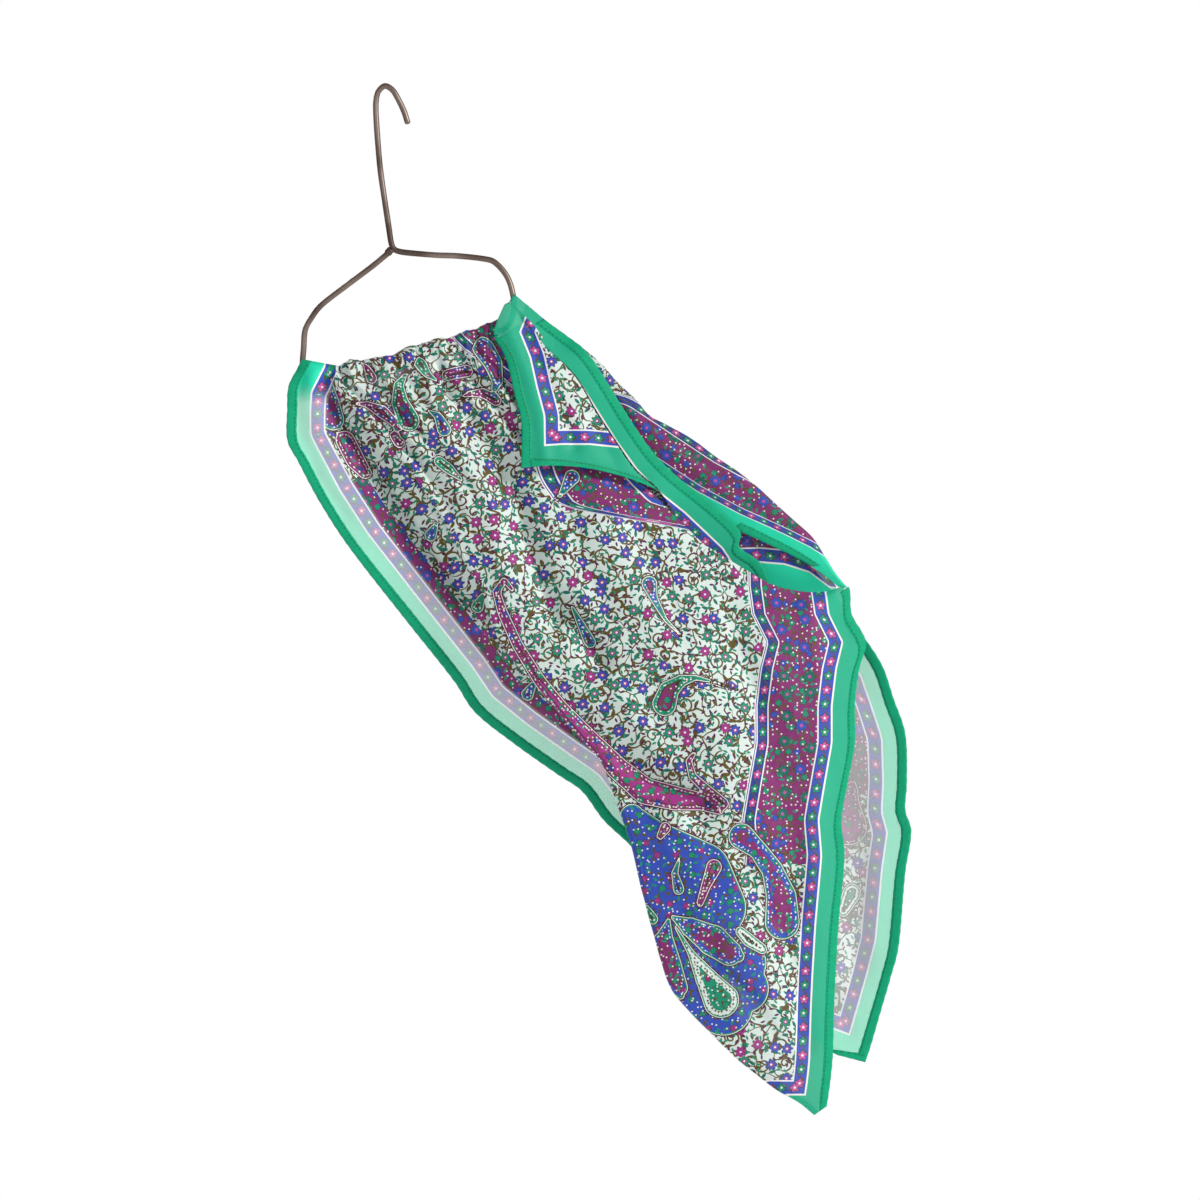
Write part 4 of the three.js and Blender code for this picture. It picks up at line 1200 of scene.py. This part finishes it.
# Each fall: its sections, its long folds and its creases.
FRONT = (FRONT_SECTIONS, FRONT_FOLDS, FRONT_CREASES)
BACK = (BACK_SECTIONS, BACK_FOLDS, BACK_CREASES)
LEFT = (LEFT_SECTIONS, LEFT_FOLDS, LEFT_CREASES)
FLAP = (FLAP_SECTIONS, [], FLAP_CREASES)
SIDE = (SIDE_SECTIONS, [], [])
TUCK = (TUCK_SECTIONS, [], [])


def left_to_hem(table, down, start):
    """Share of each section's width that is left to the hem, from the hem's start on."""
    return CLOTH_STARTS * (down >= start)[:, None] / width_at(table, down)


def fall_cloth(name, fall, down, columns, first, last, flat, wall):
    """The cloth of one fall between two shares of its width."""
    across = first + (last - first) * np.linspace(0, 1, columns)[None]
    x, y, z = on_fall(*fall, across, down)
    return surface(name, [(x, y, z, *flat(x, z))], wall)


def front_cloth(wall):
    """The front layer, with the stretch over the bar above it and its turned side."""
    down = np.linspace(0, 1, 210)
    u = np.linspace(0, 1, 190)[None]
    gathered = on_gather(u, np.linspace(1, 0, 22)[:-1, None])
    hanging = on_front(u * (1 - left_to_hem(FRONT_SECTIONS, down, HEM_START["front"])), down)
    x, y, z = (np.concatenate(pair) for pair in zip(gathered, hanging))
    p, q = flat_front(x, z)
    q = q + np.concatenate([np.maximum(0, gathered[1]), 0 * hanging[1]]) * 2
    low = np.linspace(0.012, 1, 208)
    rx, ry, rz = on_front_return(np.linspace(0, 1, 34)[None], low)
    ridge_x, _, ridge_z = on_front(np.zeros((1, 1)), low)
    rp, rq = flat_front(ridge_x, ridge_z)
    rp = rp + np.hypot(rx - ridge_x, rz - ridge_z)
    return surface("cloth_front", [(x, y, z, p, q), (rx, ry, rz, rp, rq)], wall)


def back_cloth(wall):
    """The back layer, from the bar to its lower corner."""
    down = np.linspace(0, 1, 150)
    first = left_to_hem(BACK_SECTIONS, down, HEM_START["under"])
    last = 1 - left_to_hem(BACK_SECTIONS, down, HEM_START["back"])
    return fall_cloth("cloth_back", BACK, down, 120, first, last, flat_back, wall)


def left_cloth(wall):
    """The stretch over the bar's left end, wider at its top, where it goes under the front."""
    down = np.linspace(0, 1, 130)
    first = left_to_hem(LEFT_SECTIONS, down, 0)
    last = 1 + 0.16 * (1 - ramp(0, 0.12, down))[:, None]
    return fall_cloth("cloth_left", LEFT, down, 56, first, last, flat_left, wall)


def flap_cloth(wall):
    """The corner flap, wider at its top, where it goes under the side border."""
    down = np.linspace(0, 1 - CLOTH_STARTS / runs(FLAP_SECTIONS)[-1], 90)
    first = left_to_hem(FLAP_SECTIONS, down, HEM_START["flap"])
    last = 1 + 0.22 * (1 - ramp(0, 0.4, down))[:, None]
    return fall_cloth("cloth_flap", FLAP, down, 60, first, last, flat_flap, wall)


def side_cloth(wall):
    """The border strip beside the flap."""
    down = np.linspace(0, 1, 120)
    last = 1 - left_to_hem(SIDE_SECTIONS, down, HEM_START["side"])
    return fall_cloth("cloth_side", SIDE, down, 20, 0, last, flat_side, wall)


def shoulder_front(t):
    """Width of the shoulder's front side at shares t."""
    rows = sections_at(SHOULDER_SECTIONS, t)
    return np.hypot(rows[:, 2] - rows[:, 0], rows[:, 3] - rows[:, 1]) - rows[:, 4]


def shoulder_cloth(wall):
    """The folded edge at the upper right: back return, fold and front side."""
    down = np.linspace(0, 1, 130)
    u = np.concatenate([np.linspace(0, RETURN_ENDS, 8),
                        np.linspace(RETURN_ENDS, FOLD_ENDS, 14)[1:],
                        np.linspace(FOLD_ENDS, 1, 28)[1:]])[None]
    hemmed = (down >= HEM_START["shoulder"]) & (down <= SHOULDER_HEM_END)
    keep = (1 - np.where(hemmed, CLOTH_STARTS / shoulder_front(down), 0))[:, None]
    across = np.where(u > FOLD_ENDS, FOLD_ENDS + (u - FOLD_ENDS) * keep, u + 0 * keep)
    x, y, z = on_shoulder(across, down)
    return surface("cloth_shoulder", [(x, y, z, *flat_shoulder(x, z))], wall)


def tuck_cloth(wall):
    """The piece of border in the pocket between the layers."""
    return fall_cloth("cloth_tuck", TUCK, np.linspace(0, 1, 50), 30, 0, 1, flat_tuck, wall)


# Each cloth piece: its function, the solids it stands for, its cut, how it is held, its hems.
CLOTH = {
    "front": (front_cloth, ["bar_gather", "front_fall"], (0.32, 0.42), "hung", ["hem_front"]),
    "back": (back_cloth, ["back_fall"], (0.24, 0.36), "hung",
             ["hem_back", "hem_under", "hem_foot"]),
    "left": (left_cloth, ["left_turn"], (0.06, 0.36), "hung", ["hem_left"]),
    "flap": (flap_cloth, ["corner_flap"], (0.06, 0.08), "draped",
             ["hem_flap_side", "hem_flap_bottom"]),
    "side": (side_cloth, ["side_border"], (0.015, 0.23), "draped", ["hem_side"]),
    "shoulder": (shoulder_cloth, ["shoulder_turn"], (0.05, 0.26), "draped", ["hem_shoulder"]),
    "tuck": (tuck_cloth, ["border_tuck"], (0.036, 0.065), "draped", []),
}


def silk_finishes(settings):
    """The voile of each piece: sheer where it hangs alone, closer where it lies on cloth."""
    full, sheer = settings.cover, settings.sheer_cover
    # The plain green: the painted-shade copy where the cloth is doubled, the painted-light copy
    # where it hangs alone.
    plain = printed_silk("printed_voile", 0.11, full, SHADED_DOUBLED_GREEN)
    return {
        "flap": plain,
        "side": plain,
        "front": printed_silk("printed_voile_front", 0.0, full, SHADED_DOUBLED_GREEN, motifs=True),
        "back": printed_silk("printed_voile_back", 0.37, sheer, LIT_SINGLE_GREEN, motifs=True,
                             lined=(66, -356)),
        "left": printed_silk("printed_voile_left", 0.23, sheer, LIT_SINGLE_GREEN, motifs=True,
                             band_ends=36.0, lined=(25.5, -214)),
        "shoulder": printed_silk("printed_voile_shoulder", 0.52, 0.68, LIT_SINGLE_GREEN),
        "tuck": printed_silk("printed_voile_tuck", 0.61, 0.66, LIT_SINGLE_GREEN),
    }


class SCARF_OT_cloth(bpy.types.Operator):
    """Make the printed cloth of every fall"""

    bl_idname = "scarf.cloth"
    bl_label = "Printed cloth"

    def execute(self, context):
        settings = context.scene.scarf_cloth
        finishes = silk_finishes(settings)
        pieces = {key: facts[0](settings.wall) for key, facts in CLOTH.items()}
        for key, (motifs, medallion) in PLACED_MOTIFS.items():
            mark_motifs(pieces[key], "motif", motifs)
            mark_motifs(pieces[key], "medallion", medallion)
        for key, piece in pieces.items():
            dress(piece, finishes[key], CLOTH[key][1])
        return {"FINISHED"}


def edge_strip(fall, side):
    """The outer seven millimetres of a fall along one side, as a function of u and t."""
    def place(u, t):
        part = HEM_WIDTH / width_at(fall[0], t)
        across = part * u if side == "left" else 1 - part * u
        return on_front(across, t) if fall is FRONT else on_fall(*fall, across, t)
    return place


def foot_strip(fall, start):
    """The lower seven millimetres of a fall; t runs to its right end from a share of its width."""
    def place(u, t):
        down = 1 - HEM_WIDTH / runs(fall[0])[-1] * u
        x, y, z = on_fall(*fall, start + (1 - start) * t[None], down.ravel())
        return x.T, y.T, z.T
    return place


def shoulder_strip(u, t):
    """The lower seven millimetres of the shoulder's front side."""
    part = (1 - FOLD_ENDS) * HEM_WIDTH / shoulder_front(t)
    return on_shoulder(1 - part[:, None] * u, t)


# Each hem: its strip of cloth, where it starts and ends on it, and its number of rings.
HEMS = {
    "hem_front": (edge_strip(FRONT, "right"), HEM_START["front"], 1, 230),
    "hem_back": (edge_strip(BACK, "right"), HEM_START["back"], 1, 200),
    "hem_under": (edge_strip(BACK, "left"), HEM_START["under"], 0.97, 120),
    "hem_left": (edge_strip(LEFT, "left"), 0, 1, 240),
    "hem_flap_side": (edge_strip(FLAP, "left"), HEM_START["flap"], 1, 90),
    "hem_flap_bottom": (foot_strip(FLAP, 0.074), 0, 1, 90),
    "hem_side": (edge_strip(SIDE, "right"), HEM_START["side"], 1, 150),
    "hem_shoulder": (shoulder_strip, HEM_START["shoulder"], SHOULDER_HEM_END, 50),
    "hem_foot": (foot_strip(BACK, 0), 0, 1, 30),
}


class SCARF_OT_hems(bpy.types.Operator):
    """Make the turned hems and their stitches"""

    bl_idname = "scarf.hems"
    bl_label = "Hems and stitches"

    def execute(self, context):
        settings = context.scene.scarf_cloth
        green = plain_finish("hem_green", tuple(settings.hem_colour) + (1.0,), 0.6)
        thread = plain_finish("hem_thread", linear("0B6E52"), 0.7)
        dark_thread = plain_finish("hem_thread_olive", linear("4C5A2C"), 0.7)
        for seed, (node, (place, start, end, rings)) in enumerate(HEMS.items()):
            hem, *course = hem_band("turned_" + node, place, np.linspace(start, end, rings), seed)
            dress(hem, green, [] if node == "hem_foot" else [node])
            row = stitch_row("stitches_" + node, *course, settings.stitch_pitch)
            dress(row, dark_thread if "flap" in node else thread, [])
        return {"FINISHED"}


class SCARF_OT_declare(bpy.types.Operator):
    """Does nothing; the cut and hold of each piece are only listed in the CLOTH table"""

    bl_idname = "scarf.declare"
    bl_label = "Cloth facts"

    def execute(self, context):
        return {"FINISHED"}


# The stage, in metres. Each light: name, place, side, power in watts and colour.
FLOOR_HALF = 4.6
FLOOR_SHIFT = 0.15
FLOOR_HEIGHT = -1.25
LIGHTS = [
    ("key_light", (2.5, -1.7, 1.1), 0.7, 92, (1.0, 0.99, 0.97)),
    ("fill_light", (-0.6, -2.8, 0.3), 1.6, 11, (0.95, 0.98, 1.0)),
    ("back_light", (-1.6, 2.6, 1.2), 1.4, 64, (1.0, 1.0, 1.0)),
]
LIT_PLACE = (0.14, 0.0, -0.35)
ROOM_LIGHT = 0.27
EYE = (0.1455, -4.0, -0.3475)
FILM_WIDTH = 36
VIEW_WIDTH = 0.816
ALL_WHITE = (1.0, 1.0, 1.0, 1.0)


def pale_floor():
    """A wide pale floor far below the hanging scarf."""
    finish = plain_finish("pale_floor", linear("F2F2F0"), 0.9)
    glow = finish.node_tree.nodes["Principled BSDF"]
    glow.inputs["Emission Color"].default_value = ALL_WHITE
    glow.inputs["Emission Strength"].default_value = 0.5
    signs = ((-1, -1), (1, -1), (1, 1), (-1, 1))
    corners = [(i * FLOOR_HALF + FLOOR_SHIFT, j * FLOOR_HALF, FLOOR_HEIGHT) for i, j in signs]
    mesh = bpy.data.meshes.new("floor")
    mesh.from_pydata(corners, [], [(0, 1, 2, 3)])
    mesh.materials.append(finish)
    floor = bpy.data.objects.new("floor", mesh)
    bpy.context.scene.collection.objects.link(floor)


def area_light(name, place, size, power, colour):
    """A square soft light aimed at the scarf."""
    data = bpy.data.lights.new(name, "AREA")
    data.energy = power
    data.size = size
    data.color = colour
    light = bpy.data.objects.new(name, data)
    bpy.context.scene.collection.objects.link(light)
    light.location = place
    aim = Vector(LIT_PLACE) - Vector(place)
    light.rotation_euler = aim.to_track_quat("-Z", "Y").to_euler()


def white_room():
    """A world that is seen as white and lights the scarf more dimly."""
    world = bpy.data.worlds.new("white_room")
    world.use_nodes = True
    nodes, links = world.node_tree.nodes, world.node_tree.links
    sky = nodes["Background"]
    paper = nodes.new("ShaderNodeBackground")
    for shown, strength in ((sky, ROOM_LIGHT), (paper, 1.0)):
        shown.inputs[0].default_value = ALL_WHITE
        shown.inputs[1].default_value = strength
    seen = nodes.new("ShaderNodeLightPath")
    either = nodes.new("ShaderNodeMixShader")
    links.new(seen.outputs["Is Camera Ray"], either.inputs[0])
    links.new(sky.outputs[0], either.inputs[1])
    links.new(paper.outputs[0], either.inputs[2])
    links.new(either.outputs[0], nodes["World Output"].inputs[0])
    return world


def photo_camera():
    """The camera at the photo's angle, straight in front."""
    camera = bpy.data.cameras.new("photo_camera")
    camera.sensor_width = FILM_WIDTH
    camera.lens = FILM_WIDTH * -EYE[1] / VIEW_WIDTH
    camera.clip_end = 30
    eye = bpy.data.objects.new("photo_camera", camera)
    bpy.context.scene.collection.objects.link(eye)
    eye.location = EYE
    eye.rotation_euler = (math.pi / 2, 0, 0)
    bpy.context.scene.camera = eye


class SCARF_OT_stage(bpy.types.Operator):
    """Add the floor, the lights and the camera"""

    bl_idname = "scarf.stage"
    bl_label = "Stage"

    def execute(self, context):
        pale_floor()
        for light in LIGHTS:
            area_light(*light)
        context.scene.world = white_room()
        context.scene.view_settings.view_transform = "Standard"
        photo_camera()
        return {"FINISHED"}


class SCARF_PT_panel(bpy.types.Panel):
    """Lists the pieces that can be made"""

    bl_idname = "SCARF_PT_panel"
    bl_label = "Scarf"
    bl_space_type = "VIEW_3D"
    bl_region_type = "UI"
    bl_category = "Scarf"

    def draw(self, context):
        settings = context.scene.scarf_cloth
        for key in ("cover", "sheer_cover", "wall", "stitch_pitch", "hem_colour"):
            self.layout.prop(settings, key)
        for kind in OPERATORS:
            self.layout.operator(kind.bl_idname)


OPERATORS = (SCARF_OT_hanger, SCARF_OT_cloth, SCARF_OT_hems, SCARF_OT_declare, SCARF_OT_stage)
CLASSES = (ScarfCloth, *OPERATORS, SCARF_PT_panel)


def register():
    for kind in CLASSES:
        bpy.utils.register_class(kind)
    bpy.types.Scene.scarf_cloth = bpy.props.PointerProperty(type=ScarfCloth)


def unregister():
    del bpy.types.Scene.scarf_cloth
    for kind in reversed(CLASSES):
        bpy.utils.unregister_class(kind)


def main():
    register()
    bpy.ops.scarf.hanger()
    bpy.ops.scarf.cloth()
    bpy.ops.scarf.hems()
    bpy.ops.scarf.declare()
    bpy.ops.scarf.stage()


if __name__ == "__main__":
    main()
